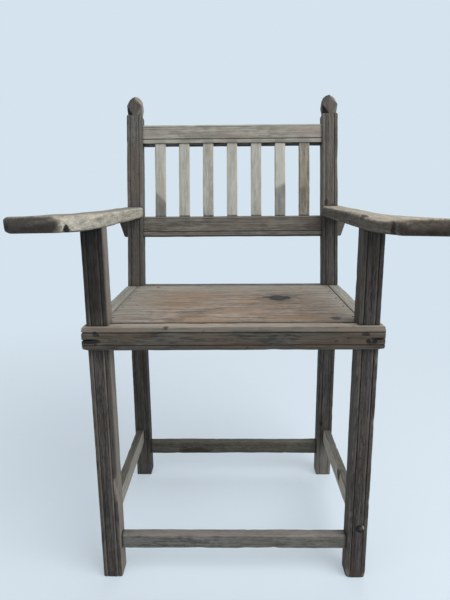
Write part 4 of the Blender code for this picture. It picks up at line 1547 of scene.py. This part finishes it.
@dataclass
class SeatBoards:
    """The three boards of the seat, with their grain from side to side."""

    shop: Workshop
    left: float = -0.2160
    right: float = 0.2151
    floor: float = 0.4625
    thickness: float = 0.016
    edges: tuple[tuple[str, float, float], ...] = (
        ("front", 0.0197, 0.1578),
        ("middle", 0.1584, 0.2519),
        ("rear", 0.2525, 0.3636),
    )
    joints: tuple[Triple, ...] = (
        (0.0190, 0.010, 0.95),
        (0.1581, 0.005, 0.3),
        (0.2522, 0.005, 0.25),
    )
    radii: Radii = (0.0005, 0.0005, 0.0006, 0.0006)
    wear: Wear = Wear(0.00018, (0.06, 0.06, 0.16), 0.00022, 0.0004, 12.0, 0.0005)
    tool_low: float = 0.44
    tool_high: float = 0.5
    knots: tuple[Knot, ...] = (
        Knot((0.088, 0.2100, 0.4785), (0.038, 0.05, 0.042), 0.25),
        Knot((0.090, 0.2080, 0.4785), (0.022, 0.05, 0.0155), 1.0),
        Knot((0.109, 0.2110, 0.4785), (0.014, 0.05, 0.0080), 0.95),
        Knot((0.073, 0.2160, 0.4785), (0.009, 0.05, 0.0120), 0.8),
        Knot((0.177, 0.0480, 0.4785), (0.010, 0.05, 0.0080), 0.8),
        Knot((-0.167, 0.3230, 0.4785), (0.005, 0.05, 0.0024), 0.95),
        Knot((-0.074, 0.0780, 0.4785), (0.024, 0.05, 0.024), 0.32),
        Knot((-0.100, 0.0450, 0.4785), (0.017, 0.05, 0.018), 0.3),
    )

    def build(self) -> None:
        """Make the boards, brown where they are sat on and grey towards the sides and the back."""

        def shade(points: Array, normals: Array) -> Array:
            """Bleach towards the sides and the back."""
            sides = 0.9 * eased(0.11, 0.215, np.abs(points[:, 0] - 0.01))
            return np.maximum(sides, 0.8 * eased(0.24, 0.31, points[:, 1]))

        def stain(points: Array, normals: Array) -> Array:
            """Paint shade along the rear edge, and darken the joints of the boards.

            Args:
                points: places on the piece.
                normals: the ways that they face; not used.

            Returns:
                How dark each place is.
            """
            deep = points[:, 1]
            # A painted shade line along the seat's rear edge.
            dark = 0.8 * eased(0.325, 0.350, deep)
            for joint, reach, strength in self.joints:
                dark = np.maximum(dark, strength * eased(reach, 0.0, np.abs(deep - joint)))
            return dark

        for name, start, end in self.edges:
            outline = Outline(end - start, self.thickness, self.radii, step=0.0032)
            lay = Straight((self.left, start, self.floor), DEEP, UP, ACROSS)
            node = "seat_board_" + name
            piece = Timber(node, outline, self.right - self.left, lay, self.wear, pace=0.006).make()
            if name != "middle":
                self.notch(piece, name == "rear")
            knots = tuple(knot for knot in self.knots if start < knot.at[1] < end)
            self.shop.dress(piece, node, Slot.SEAT, lay, Woods.SEAT_BOARD, shade, knots, stain)

    def notch(self, piece: Solid, rear: bool) -> None:
        """Cut a board round the legs.

        Args:
            piece: the board.
            rear: whether it is the rear board.
        """
        start, end = (LAYOUT.depth, LAYOUT.depth + LAYOUT.leg) if rear else (0.0, LAYOUT.leg)
        for side in Side:
            edges = sorted((side.value * LAYOUT.inside, side.value * LAYOUT.outside))
            tool = block((edges[0], start, self.tool_low), (edges[1], end, self.tool_high))
            work_solid(piece, tool, Cut.AWAY)


@dataclass
class Back:
    """The raked back: a top rail, a lower rail that passes through the posts, and seven slats."""

    shop: Workshop
    top_thickness: float = 0.030
    low_thickness: float = 0.026
    setback: float = 0.005
    bead: float = 0.010
    brow: float = 0.0052
    top_rise: float = 0.3243
    top_height: float = 0.0425
    low_height: float = 0.045
    arm_seating: float = 0.0376
    through_thickness: float = 0.013
    through_foot: float = 0.0095
    through_reach: float = 0.0245
    through_root: float = 0.003
    through_drop: float = 0.0012
    through_edge: float = 0.0014
    rail_radii: Radii = (0.0016, 0.0016, 0.002, 0.0030)
    rail_wear: Wear = Wear(arris=0.0005, end_round=0.0003)
    slat_count: int = 7
    slat_pitch: float = 0.0547
    slat_width: float = 0.024
    slat_thickness: float = 0.011
    slat_setback: float = 0.002
    slat_tenon: float = 0.006
    slat_edge: float = 0.0015
    slat_wear: Wear = Wear(0.0001, (0.04, 0.04, 0.1), 0.0004, 0.0006, 14.0, 0.0006)
    foot_stains: dict[int, Triple] = field(
        default_factory=lambda: {1: (0.66, 0.045, 1.0), 6: (0.6, 0.068, -0.5), 7: (0.3, 0.066, -0.5)}
    )
    slat_bleach: dict[int, float] = field(
        default_factory=lambda: {1: 0.4, 2: 0.3, 4: 0.4, 5: 0.2, 6: 0.7}
    )

    @property
    def low_rise(self) -> float:
        """Give the lower rail's underside above the seat, along the posts."""
        return LAYOUT.arm_rise - self.arm_seating

    def rail(self, node: str, rise: float, height: float, thickness: float) -> tuple[Timber, Straight]:
        """Lay out a rail between the posts.

        Args:
            node: the solid that it stands for.
            rise: its underside above the seat, along the posts.
            height: its height.
            thickness: how deep it is from front to back.

        Returns:
            The piece to make and where it lies.
        """
        bead = Groove(Flank.NEAR, self.bead, 0.0018)
        brow = Groove(Flank.NEAR, height - self.brow, 0.0014, 0.0006)
        outline = Outline(thickness, height, self.rail_radii, grooves=(bead, brow))
        corner = LAYOUT.raked(-LAYOUT.inside, self.setback, rise)
        lay = Straight(corner, LAYOUT.back_in, LAYOUT.back_up, ACROSS)
        return Timber(node, outline, 2 * LAYOUT.inside, lay, self.rail_wear, pace=0.0045), lay

    def through_end(self, side: Side) -> Solid:
        """Make the slanted end of the lower rail that shows outside a post.

        Args:
            side: which end it is.

        Returns:
            The end, to weld on the rail.
        """
        start = side.value * (LAYOUT.inside - self.through_root)
        foot = side.value * (LAYOUT.outside + self.through_foot)
        reach = side.value * (LAYOUT.outside + self.through_reach)
        low, high = self.low_rise, self.low_rise + self.low_height - self.through_drop
        front = self.setback + (self.low_thickness - self.through_thickness) / 2
        ring = ((start, low), (foot, low), (reach, high), (start, high))
        faces = (front, front + self.through_thickness)
        tool = prism(*[[LAYOUT.raked(x, depth, along) for x, along in ring] for depth in faces])
        work = bmesh.new()
        work.from_mesh(tool.data)
        edge = self.through_edge
        bmesh.ops.bevel(work, geom=work.edges[:], offset=edge, segments=2, profile=0.6, affect="EDGES")
        work.to_mesh(tool.data)
        work.free()
        return tool

    def rails(self) -> None:
        """Make the two rails."""
        timber, lay = self.rail("back_top_rail", self.top_rise, self.top_height, self.top_thickness)

        def top_shade(points: Array, normals: Array) -> Array:
            """Bleach the worn top edge and the lower bead."""
            along = lay.grain(points)[:, 1]
            return 0.8 * eased(0.0355, 0.0395, along) + 0.2 * eased(0.0095, 0.0075, along)

        def under(points: Array, normals: Array) -> Array:
            """Paint shade on the underside."""
            return eased(0.3, 0.7, normals @ -np.array(LAYOUT.back_up))

        # The top rail's underside gets painted shade.
        self.shop.dress(timber.make(), timber.node, Slot.BACK, lay, Woods.TOP_RAIL, top_shade, (), under)
        timber, lay = self.rail("back_lower_rail", self.low_rise, self.low_height, self.low_thickness)
        piece = timber.make()
        for side in Side:
            work_solid(piece, self.through_end(side), Cut.ON)

        def low_shade(points: Array, normals: Array) -> Array:
            """Bleach the top edge between the posts."""
            between = np.abs(points[:, 0]) < LAYOUT.inside
            return 0.35 * eased(0.0390, 0.0405, lay.grain(points)[:, 1]) * between

        def low_stain(points: Array, normals: Array) -> Array:
            """Paint shade on the ends outside the posts, below the arms, and on the underside."""
            # Painted shade on the through ends and the underside.
            outer = eased(LAYOUT.outside - 0.001, LAYOUT.outside + 0.001, np.abs(points[:, 0]))
            return np.maximum(np.where(points[:, 0] < 0.0, 0.75, 0.5) * outer, 0.8 * under(points, normals))

        self.shop.dress(piece, timber.node, Slot.RAIL, lay, Woods.LOWER_RAIL, low_shade, (), low_stain)

    def foot_stain(self, number: int, lay: Straight) -> Shade:
        """Make the darkening of a slat's lower part, with painted contact shade round its foot and painted
        shade on its left edge.

        Args:
            number: which slat it is.
            lay: where it lies.

        Returns:
            The darkening, with a slanting upper edge.
        """
        depth, rise, slope = self.foot_stains.get(number, (0.08, 0.02, 0.3))

        def stain(points: Array, normals: Array) -> Array:
            """Darken below a slanting line, and paint shade round the foot and on the left edge, which faces
            from the light.

            Args:
                points: places on the piece.
                normals: the ways that they face.

            Returns:
                How dark each place is.
            """
            wood = lay.grain(points)
            along = wood[:, 2] - self.slat_tenon
            slant = along + slope * (wood[:, 0] - self.slat_width / 2)
            foot = depth * eased(rise + 0.006, rise - 0.006, slant)
            # Painted contact shade round the foot, and painted shade on the left edge.
            line = 0.95 * eased(0.0032, 0.0018, along)
            shady = 0.5 * eased(0.4, 0.8, -normals[:, 0])
            return np.maximum(np.maximum(foot, line), shady)

        return stain

    def slats(self) -> None:
        """Make the seven slats between the rails."""
        low = self.low_rise + self.low_height - self.slat_tenon
        length = self.top_rise + self.slat_tenon - low
        for number in range(1, self.slat_count + 1):
            middle = (number - (self.slat_count + 1) / 2) * self.slat_pitch
            corner = LAYOUT.raked(middle - self.slat_width / 2, self.setback + self.slat_setback, low)
            lay = Straight(corner, ACROSS, LAYOUT.back_in, LAYOUT.back_up)
            outline = Outline(self.slat_width, self.slat_thickness, (self.slat_edge,) * 4, step=0.0022)
            node = f"back_slat_{number}"
            piece = Timber(node, outline, length, lay, self.slat_wear, pace=0.002).make()
            wood = Woods.BROWN_SLAT if number == self.slat_count else Woods.SLAT
            stain = self.foot_stain(number, lay)
            # Painted light on each slat's right side, which faces the light, over an even bleaching given
            # per slat.
            shade = facing(ACROSS, 1.0, self.slat_bleach.get(number, 0.0))
            self.shop.dress(piece, node, Slot.SLAT, lay, wood, shade, (), stain)

    def build(self) -> None:
        """Make the rails and the slats."""
        self.rails()
        self.slats()


@dataclass
class Arms:
    """The two sawn arms, seated on the front legs and housed round the posts."""

    shop: Workshop
    thickness: float = 0.0235
    overhang: float = 0.1145
    spread: float = 0.0712
    heel_left: float = 0.036
    heel_right: float = 0.024
    heel_back: float = 0.018
    inner_turn: float = 0.058
    outer_turn: float = 0.023
    flare: float = 0.10
    waist: float = 0.0075
    tail: float = 0.0115
    reach: float = 0.027
    edge: float = 0.0042
    end_round: float = 0.0055
    notch_width: float = 0.016
    notch_height: float = 0.0115
    notch_depth: float = 0.009
    notch_steps: int = 4
    notch_out: float = 0.004
    notch_mouth: float = 1.25
    notch_root: float = 0.55
    notch_shape: tuple[tuple[float, float], ...] = (
        (-0.5, -0.004),
        (0.5, -0.004),
        (0.18, 0.8),
        (-0.02, 1.0),
        (-0.2, 0.7),
    )
    gap: float = 0.0003
    house_in: float = 0.01
    house_back: float = 0.03
    house_half: float = 0.06
    worn_run: float = 0.10
    breaks: tuple[Knot, ...] = (
        Knot((0.2065, 0.006, 0.6540), (0.0035, 0.0026, 0.024), 0.85),
        Knot((0.2228, -0.0870, 0.6410), (0.0040, 0.0075, 0.0036), 0.9),
    )
    curve_steps: int = 24
    plan_steps: int = 140

    @staticmethod
    def curve(start: Array, pull: Array, end: Array, steps: int) -> list[Array]:
        """Return points along a curve from start to end that leans towards pull."""
        shares = [i / steps for i in range(steps + 1)]
        return [start * (1 - t) ** 2 + pull * 2 * t * (1 - t) + end * t**2 for t in shares]

    def even(self, points: list[Array]) -> Array:
        """Lay points at even distances along a line.

        Args:
            points: the line's own points.

        Returns:
            The even points.
        """
        line = np.array(points)
        run = np.concatenate([[0.0], np.cumsum(np.linalg.norm(np.diff(line, axis=0), axis=1))])
        places = np.linspace(0.0, run[-1], self.plan_steps)
        return np.stack([np.interp(places, run, line[:, axis]) for axis in (0, 1)], -1)

    def plan(self, side: Side) -> tuple[Array, Array, list[Array]]:
        """Draw an arm's two edges from above, with +X outwards.

        Args:
            side: which arm it is.

        Returns:
            The inner edge and the outer edge from the post to the front, and the inner curve alone.
        """
        heel_spread = side.pick(self.heel_left, self.heel_right)
        rear = LAYOUT.arm_post + self.reach
        heel = np.array((LAYOUT.inside + heel_spread, -self.overhang + self.heel_back))
        toe = np.array((LAYOUT.outside + self.spread, -self.overhang))
        leg = np.array((LAYOUT.inside, 0.0))
        turn = self.curve(leg, np.array((LAYOUT.inside, -self.inner_turn)), heel, self.curve_steps)
        waist = np.array((LAYOUT.outside + self.waist, self.flare))
        pull = np.array((LAYOUT.outside + self.waist, -self.outer_turn))
        sweep = self.curve(waist, pull, toe, self.curve_steps)
        inner = self.even([np.array((LAYOUT.inside, rear))] + turn)
        outer = self.even([np.array((LAYOUT.outside + self.tail, rear))] + sweep)
        return inner, outer, turn

    def notch(self, side: Side, turn: list[Array]) -> Solid:
        """Make the V that is cut in the lower inner edge just behind the front corner.

        Args:
            side: which arm it is.
            turn: the inner curve.

        Returns:
            The solid to cut away.
        """
        at = turn[-self.notch_steps]
        along = turn[-1] - at
        along = along / np.linalg.norm(along)
        inward = np.array((-along[1], along[0]))
        base = float(LAYOUT.arm_underside(side, np.array(at[1])))
        rings = []
        for depth, size in ((-self.notch_out, self.notch_mouth), (self.notch_depth, self.notch_root)):
            ring = []
            for offset, lift in self.notch_shape:
                spot = at + along * offset * size * self.notch_width + inward * depth
                rise = lift if lift < 0 else lift * size * self.notch_height
                ring.append((side.value * spot[0], spot[1], base + rise))
            rings.append(ring)
        return prism(*rings)

    def housing(self, side: Side) -> Solid:
        """Make the room for the post at an arm's rear end.

        Args:
            side: which arm it is.

        Returns:
            The solid to cut away.
        """
        across = (side.value * (LAYOUT.inside - self.house_in), side.value * (LAYOUT.outside + self.gap))
        rings = []
        for along in (LAYOUT.arm_rise - self.house_half, LAYOUT.arm_rise + self.house_half):
            ring = [LAYOUT.raked(x, -self.gap, along) for x in across]
            ring += [LAYOUT.raked(x, LAYOUT.leg + self.house_back, along) for x in across[::-1]]
            rings.append(ring)
        return prism(*rings)

    def arm(self, side: Side) -> None:
        """Make an arm.

        Args:
            side: which arm it is.
        """
        inner, outer, turn = self.plan(side)
        mirror = np.array((side.value, 1.0))
        width = LAYOUT.leg + self.tail
        length = float(np.linalg.norm(np.diff(outer, axis=0), axis=1).sum())
        right = side is Side.RIGHT
        near, far = side.pick((outer, inner), (inner, outer))
        lay = Sawn(near * mirror, far * mirror, width, length, side)
        outline = Outline(width, self.thickness, (self.edge,) * 4, step=0.0028)
        wear = Wear(0.0003, (0.06, 0.04, 0.12), 0.0006, 0.0008, 8.0, self.end_round)
        front, past = length - self.worn_run, length + 0.02
        if right:
            gouges = (
                Gouge(Corner.NEAR_HIGH, front - 0.03, past, 0.0034, 0.09),
                Gouge(Corner.NEAR_HIGH, front - 0.012, front + 0.008, 0.0012, 0.005),
            )
        else:
            gouges = (
                Gouge(Corner.FAR_HIGH, front - 0.02, past, 0.0022, 0.05),
                Gouge(Corner.FAR_HIGH, front - 0.16, front - 0.08, 0.0015, 0.03),
            )
        node = "arm_" + side.word
        piece = Timber(node, outline, length, lay, wear, gouges, pace=0.0042).make()
        work_solid(piece, self.housing(side), Cut.AWAY)
        work_solid(piece, self.notch(side, turn), Cut.AWAY)

        def shade(points: Array, normals: Array) -> Array:
            """Paint light on the left arm's inner side, which faces the light, and lighten the tops of both.
            """
            # Painted light on the left arm's inner side.
            top, inner = eased(0.4, 0.9, normals[:, 2]), eased(0.3, 0.8, normals[:, 0])
            return 0.85 * top if right else np.maximum(0.95 * inner, 0.5 * top)

        def stain(points: Array, normals: Array) -> Array:
            """Paint shade on the front end, most of all below, and on the underside.

            Args:
                points: places on the piece.
                normals: the ways that they face.

            Returns:
                How dark each place is.
            """
            # Painted shade on the front end and the underside.
            rise = (points[:, 2] - LAYOUT.arm_underside(side, points[:, 1])) / self.thickness
            turned = side.pick((0.8, 0.93), (0.5, 0.8))
            front = eased(*turned, -normals[:, 1]) * eased(-0.07, -0.09, points[:, 1])
            upper = eased(0.35, 1.0, rise) if right else 0.85 * eased(0.4, 1.0, rise)
            return np.maximum(front * (0.95 - upper), 0.6 * eased(0.4, 0.8, -normals[:, 2]))

        wood, knots = side.pick((Woods.LEFT_ARM, ()), (Woods.RIGHT_ARM, self.breaks))
        self.shop.dress(piece, node, Slot.ARM, lay, wood, shade, knots, stain)

    def build(self) -> None:
        """Make both arms."""
        for side in Side:
            self.arm(side)


@dataclass
class Stretchers:
    """The four stretchers near the floor."""

    shop: Workshop
    front_floor: float = 0.0567
    front_height: float = 0.0265
    rear_floor: float = 0.0555
    rear_height: float = 0.0305
    thickness: float = 0.019
    setback: float = 0.006
    side_floor: float = 0.087
    side_height: float = 0.034
    side_thickness: float = 0.017
    side_setback: float = 0.0035
    tenon: float = 0.011
    tenon_proud: float = 0.0015
    tenon_sides: int = 20
    tenon_shake: float = 0.05
    tenon_end: float = 0.002
    radii: Radii = (0.0016, 0.0016, 0.002, 0.0024)
    side_edge: float = 0.0016
    wear: Wear = Wear(0.0002, (0.05, 0.05, 0.14), 0.0006, 0.0009, 12.0, 0.0004)
    side_wear: Wear = Wear(0.0002, (0.05, 0.05, 0.14), 0.0005, 0.0009, 12.0, 0.0004)
    front_gouges: tuple[Gouge, ...] = (
        Gouge(Corner.NEAR_HIGH, 0.05, 0.17, 0.0012, 0.03),
        Gouge(Corner.NEAR_HIGH, 0.27, 0.33, 0.0010, 0.02),
        Gouge(Corner.NEAR_HIGH, 0.345, 0.36, 0.0024, 0.006),
        Gouge(Corner.NEAR_LOW, 0.20, 0.30, 0.0008, 0.03),
    )
    rear_gouges: tuple[Gouge, ...] = (Gouge(Corner.NEAR_LOW, 0.16, 0.24, 0.0005, 0.03),)
    rear_knots: tuple[Knot, ...] = (Knot((-0.092, 0.345, 0.058), (0.021, 0.011, 0.036), 0.85),)
    right_knots: tuple[Knot, ...] = (Knot((0.2185, 0.158, 0.112), (0.011, 0.01, 0.012), 1.0),)

    def cross(self, rear: bool) -> None:
        """Make the front or the rear stretcher.

        Args:
            rear: whether it is the rear one.
        """
        if rear:
            node, start, gouges = "stretcher_rear", LAYOUT.depth + self.setback, self.rear_gouges
            floor, height, knots = self.rear_floor, self.rear_height, self.rear_knots
            wood, shade = Woods.REAR_STRETCHER, facing(UP, 0.4)
        else:
            node, start, gouges = "stretcher_front", self.setback, self.front_gouges
            floor, height, knots = self.front_floor, self.front_height, ()
            wood, shade = Woods.FRONT_STRETCHER, facing(UP, 0.95)
        lay = Straight((-LAYOUT.inside, start, floor), DEEP, UP, ACROSS)
        outline = Outline(self.thickness, height, self.radii, step=0.0022)
        piece = Timber(node, outline, 2 * LAYOUT.inside, lay, self.wear, gouges, pace=0.0042).make()

        def stain(points: Array, normals: Array) -> Array:
            """Darken the two ends, at their mortises."""
            return 0.85 * eased(LAYOUT.inside - 0.004, LAYOUT.inside - 0.0015, np.abs(points[:, 0]))

        self.shop.dress(piece, node, Slot.STRETCHER, lay, wood, shade, knots, stain)

    def side(self, side: Side) -> None:
        """Make a side stretcher, the right one with its round tenon showing through the front leg.

        Args:
            side: which stretcher it is.
        """
        edge = LAYOUT.outside - self.side_setback
        near = side.pick(-edge, edge - self.side_thickness)
        lay = Straight((near, LAYOUT.leg, self.side_floor), UP, ACROSS, DEEP)
        outline = Outline(self.side_height, self.side_thickness, (self.side_edge,) * 4, step=0.0024)
        node = "stretcher_" + side.word
        piece = Timber(node, outline, LAYOUT.depth - LAYOUT.leg, lay, self.side_wear, pace=0.0045).make()
        if side is Side.RIGHT:
            work_solid(piece, self.round_end(near), Cut.ON)
        middle = np.array((near + self.side_thickness / 2, 0.0, self.side_floor + self.side_height / 2))

        def lean(points: Array) -> Array:
            """Return how far points lie towards the lit side of the tenon's end."""
            away = points - middle
            return away[:, 0] + 0.4 * away[:, 2]

        def shade(points: Array, normals: Array) -> Array:
            """Paint light on the inner face, and a highlight on the lit side of the round tenon's end."""
            # Painted light on the inner face and on the lit side of the tenon's end.
            inner = side.pick(0.7, 1.0) * eased(0.35, 0.85, -side.value * normals[:, 0])
            return np.where(points[:, 1] < self.tenon_end, eased(0.0020, 0.0036, lean(points)), inner)

        def stain(points: Array, normals: Array) -> Array:
            """Paint shade on the top, below the seat, and on the shaded side of the tenon's end."""
            tenon_shade = 0.95 * eased(0.0036, 0.0020, lean(points))
            return np.where(points[:, 1] < self.tenon_end, tenon_shade, 0.3 * eased(0.4, 0.8, normals[:, 2]))

        knots = side.pick((), self.right_knots)
        self.shop.dress(piece, node, Slot.STRETCHER, lay, Woods.SIDE_STRETCHER, shade, knots, stain)

    def round_end(self, near: float) -> Solid:
        """Make the round tenon that shows on the front of the right front leg.

        Args:
            near: the stretcher's inner face.

        Returns:
            The tenon, to weld on the stretcher.
        """
        x = near + self.side_thickness / 2
        z = self.side_floor + self.side_height / 2
        radius = self.tenon / 2
        dice = random.Random("round tenon")
        turns = [2 * math.pi * i / self.tenon_sides for i in range(self.tenon_sides)]
        jitter = [1.0 + dice.uniform(-self.tenon_shake, self.tenon_shake) for _ in turns]
        stations = ((LAYOUT.leg + 0.004, 1.0), (-0.0005, 1.0), (-0.0011, 0.93), (-self.tenon_proud, 0.72))
        points = []
        for y, share in stations:
            for turn, wobble in zip(turns, jitter):
                reach = radius * share * wobble
                points.append((x + reach * math.cos(turn), y, z + reach * math.sin(turn)))
        ring = list(range(self.tenon_sides))
        faces = tube(len(stations), len(ring)) + [ring[::-1]]
        faces.append([(len(stations) - 1) * len(ring) + i for i in ring])
        tool = new_object("tenon", points, faces)
        turn_out(tool)
        return tool

    def build(self) -> None:
        """Make all four stretchers."""
        self.cross(False)
        self.cross(True)
        for side in Side:
            self.side(side)


@dataclass
class Fasteners:
    """The whittled pegs and the hand-made nails."""

    shop: Workshop
    peg_proud: float = 0.0007
    nail_proud: float = 0.0004
    nail_head: float = 0.0022
    peg_sides: int = 9
    nail_sides: int = 12
    iron: IronFinish = IronFinish()

    TIP = 1e-4
    END = 0.002
    SHAKE = 0.09
    PEG_WEAR = 0.3

    @classmethod
    def axis(cls, node: Solid) -> tuple[Vector, Vector, float, bool]:
        """Find how a pin lies.

        Args:
            node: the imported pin.

        Returns:
            Its two tips, its slimmer radius, and whether the second tip has the wider end.
        """
        points = np.array([v.co for v in node.data.vertices])
        middle = points.mean(0)
        _, _, rows = np.linalg.svd(points - middle)
        line = rows[0]
        along = (points - middle) @ line
        off = np.linalg.norm(points - middle - along[:, None] * line, axis=1)
        low, high = along.min(), along.max()
        middle = (points[along < low + cls.TIP].mean(0) + points[along > high - cls.TIP].mean(0)) / 2
        half = (high - low) / 2
        wide_low = off[along < low + cls.END].max()
        wide_high = off[along > high - cls.END].max()
        one, two = Vector(middle - line * half), Vector(middle + line * half)
        return one, two, float(min(wide_low, wide_high)), bool(wide_high >= wide_low)

    @classmethod
    def turned(
        cls,
        name: str,
        foot: Vector,
        tip: Vector,
        profile: list[tuple[float, float]],
        sides: int,
        dice: random.Random,
    ) -> Solid:
        """Make a rough pin round a line.

        Args:
            name: its name.
            foot: the buried end.
            tip: the end that shows, at the surface.
            profile: radii, with heights from the surface along the line.
            sides: how many sides it has.
            dice: its random numbers.

        Returns:
            The pin.
        """
        up = (tip - foot).normalized()
        one = up.orthogonal().normalized()
        two = up.cross(one)
        start = dice.uniform(0, 2 * math.pi)
        wobble = [1.0 + dice.uniform(-cls.SHAKE, cls.SHAKE) for _ in range(sides)]
        points: list[tuple] = []
        for radius, height in profile:
            for i in range(sides):
                turn = start + 2 * math.pi * i / sides
                aside = (one * math.cos(turn) + two * math.sin(turn)) * (radius * wobble[i])
                points.append(tuple(tip + up * height + aside))
        crown = len(points)
        points.append(tuple(tip + up * (profile[-1][1] + cls.TIP)))
        faces = [list(range(sides))[::-1]] + tube(len(profile), sides)
        last = (len(profile) - 1) * sides
        faces += [[last + i, last + (i + 1) % sides, crown] for i in range(sides)]
        return new_object(name, points, faces)

    def peg(self, node: str) -> None:
        """Make a whittled peg, a little proud of the wood.

        Args:
            node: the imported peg.
        """
        one, two, radius, _ = self.axis(self.shop.nodes[node])
        foot, tip = (one, two) if two.xy.length > one.xy.length else (two, one)
        length = (tip - foot).length
        proud = self.peg_proud
        profile = [(radius, -length), (radius, 0.0), (radius * 0.95, proud * 0.55), (radius * 0.7, proud)]
        piece = self.turned("worn_" + node, foot, tip, profile, self.peg_sides, random.Random(node))
        shift = Vector(self.shop.shift)
        piece.data.transform(Matrix.Translation(-shift))
        up = tuple((tip - foot).normalized())
        side = (tip - foot).normalized().orthogonal().normalized()
        lay = Straight(tuple(foot - shift), tuple(side), tuple(Vector(up).cross(side)), up)
        mark(piece, "wear", np.full(len(piece.data.vertices), self.PEG_WEAR))
        self.shop.dress(piece, node, Slot.HIDDEN, lay, Woods.HIDDEN)

    def nail(self, node: str, material: Material) -> None:
        """Make a hand-made nail with a hammered head.

        Args:
            node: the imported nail.
            material: its iron.
        """
        one, two, radius, up = self.axis(self.shop.nodes[node])
        foot, tip = (one, two) if up else (two, one)
        dice = random.Random(node)
        head = self.nail_head * dice.uniform(0.85, 1.15)
        shank = min(radius, head * 0.5)
        length = (tip - foot).length
        profile = [(shank * 0.4, -length), (shank, -length * 0.6), (shank, -0.001), (head, -0.0007)]
        profile += [(head, 0.0001), (head * 0.8, self.nail_proud * 0.7), (head * 0.4, self.nail_proud)]
        piece = self.turned("worn_" + node, foot, tip, profile, self.nail_sides, dice)
        self.shop.attach(piece, node, Slot.NAIL, material)

    def build(self) -> None:
        """Make all the pegs and nails."""
        material = self.iron.make()
        for node in sorted(self.shop.nodes):
            if "_peg" in node:
                self.peg(node)
            elif "nail" in node:
                self.nail(node, material)


@dataclass(frozen=True)
class Lamp:
    """A soft lamp: its place, its width and height, and its power in watts."""

    name: str
    place: Triple
    size: float
    power: float


@dataclass
class Studio:
    """The plain pale floor, soft light and the camera of the picture."""

    floor_half: float = 8.0
    floor_colour: str = "d7e2eb"
    sky_colour: str = "d5e3ee"
    fade_start: float = 0.5
    fade_end: float = 2.0
    floor_glow: float = 0.45
    ambient: float = 0.34
    focal: float = 507.01
    pitch: float = 12.7213
    yaw: float = -0.9151
    roll: float = 0.45
    aside: float = -0.0149
    distance: float = 0.7944
    eye: float = 0.7011
    picture: float = 600.0
    sensor: float = 36.0
    aim_height: float = 0.45
    lamps: tuple[Lamp, ...] = (
        Lamp("key_lamp", (1.7, -1.6, 2.3), 2.6, 95.0),
        Lamp("fill_lamp", (-1.8, -1.9, 1.5), 2.2, 16.0),
        Lamp("rear_lamp", (0.4, 2.2, 2.2), 2.0, 25.0),
    )

    def floor(self) -> None:
        """Lay the floor, which keeps the shadow and fades into the background far away."""
        half = self.floor_half
        points = [(-half, -half, 0), (half, -half, 0), (half, half, 0), (-half, half, 0)]
        floor = new_object("floor", points, [[0, 1, 2, 3]])
        bench = Bench(bpy.data.materials.new("pale_floor"))
        place = bench.put("ShaderNodeTexCoord").outputs["Object"]
        far = bench.put("ShaderNodeVectorMath", place, operation="LENGTH").outputs["Value"]
        skin = bench.put("ShaderNodeBsdfDiffuse", tint(self.floor_colour))
        glow = bench.put("ShaderNodeEmission", tint(self.sky_colour))
        fade = bench.span(far, self.fade_start, self.fade_end, self.floor_glow, 1.0)
        bench.mix("ShaderNodeOutputMaterial", bench.sum("MULTIPLY", fade, bench.seen()), skin, glow)
        floor.data.materials.append(bench.owner)
        floor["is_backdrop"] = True

    def sky(self) -> None:
        """Set the even light from all round, and the pale background that the camera sees."""
        world = bpy.data.worlds.new("studio")
        bpy.context.scene.world = world
        bench = Bench(world)
        light = bench.put("ShaderNodeBackground", (1.0, 1.0, 1.0, 1.0), self.ambient)
        shown = bench.put("ShaderNodeBackground", tint(self.sky_colour))
        bench.mix("ShaderNodeOutputWorld", bench.seen(), light, shown)

    def hang(self, lamp: Lamp) -> None:
        """Hang a lamp that points at the chair.

        Args:
            lamp: the lamp.
        """
        data = bpy.data.lights.new(lamp.name, "AREA")
        data.size = lamp.size
        data.energy = lamp.power
        made = bpy.data.objects.new(lamp.name, data)
        bpy.context.scene.collection.objects.link(made)
        made.location = lamp.place
        aim = Vector((0.0, 0.0, self.aim_height)) - Vector(lamp.place)
        made.rotation_euler = aim.to_track_quat("-Z", "Y").to_euler()

    def camera(self, shift: Array) -> None:
        """Stand the camera where the picture was taken from.

        Args:
            shift: from the chair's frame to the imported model's.
        """
        turn = math.radians(self.yaw)
        middle = LAYOUT.depth / 2
        back = -self.distance - middle
        x = self.aside * math.cos(turn) + back * math.sin(turn)
        y = middle - self.aside * math.sin(turn) + back * math.cos(turn)
        data = bpy.data.cameras.new("camera")
        data.sensor_width = self.sensor
        data.lens = self.focal / self.picture * self.sensor
        camera = bpy.data.objects.new("camera", data)
        bpy.context.scene.collection.objects.link(camera)
        aim = Matrix.Rotation(-turn, 4, "Z") @ Matrix.Rotation(math.radians(90.0 - self.pitch), 4, "X")
        aim = aim @ Matrix.Rotation(-math.radians(self.roll), 4, "Z")
        camera.matrix_world = Matrix.Translation((x + shift[0], y + shift[1], self.eye)) @ aim
        bpy.context.scene.camera = camera

    def build(self, shift: Array) -> None:
        """Set up the studio.

        Args:
            shift: from the chair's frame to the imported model's.
        """
        bpy.context.scene.view_settings.view_transform = "Standard"
        self.camera(shift)
        self.floor()
        self.sky()
        for lamp in self.lamps:
            self.hang(lamp)


def corners(box: tuple) -> list[list[float]]:
    """Write a box's two corners as plain lists of numbers."""
    return [[float(v) for v in corner] for corner in box]


def main() -> None:
    """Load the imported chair, build its worn pieces and set up the studio."""
    logging.basicConfig(level=logging.INFO, format="%(name)s: %(message)s")
    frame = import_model()
    solid = corners(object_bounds())
    shop = Workshop(frame["nodes"])
    Studio().build(shop.shift)
    for part in (Legs, SeatFrame, SeatBoards, Back, Arms, Stretchers, Fasteners):
        part(shop).build()
        LOG.info("%s finished", part.__name__)
    bpy.context.view_layer.update()
    {"solid": solid, "visual": corners(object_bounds())}


if __name__ == "__main__":
    main()
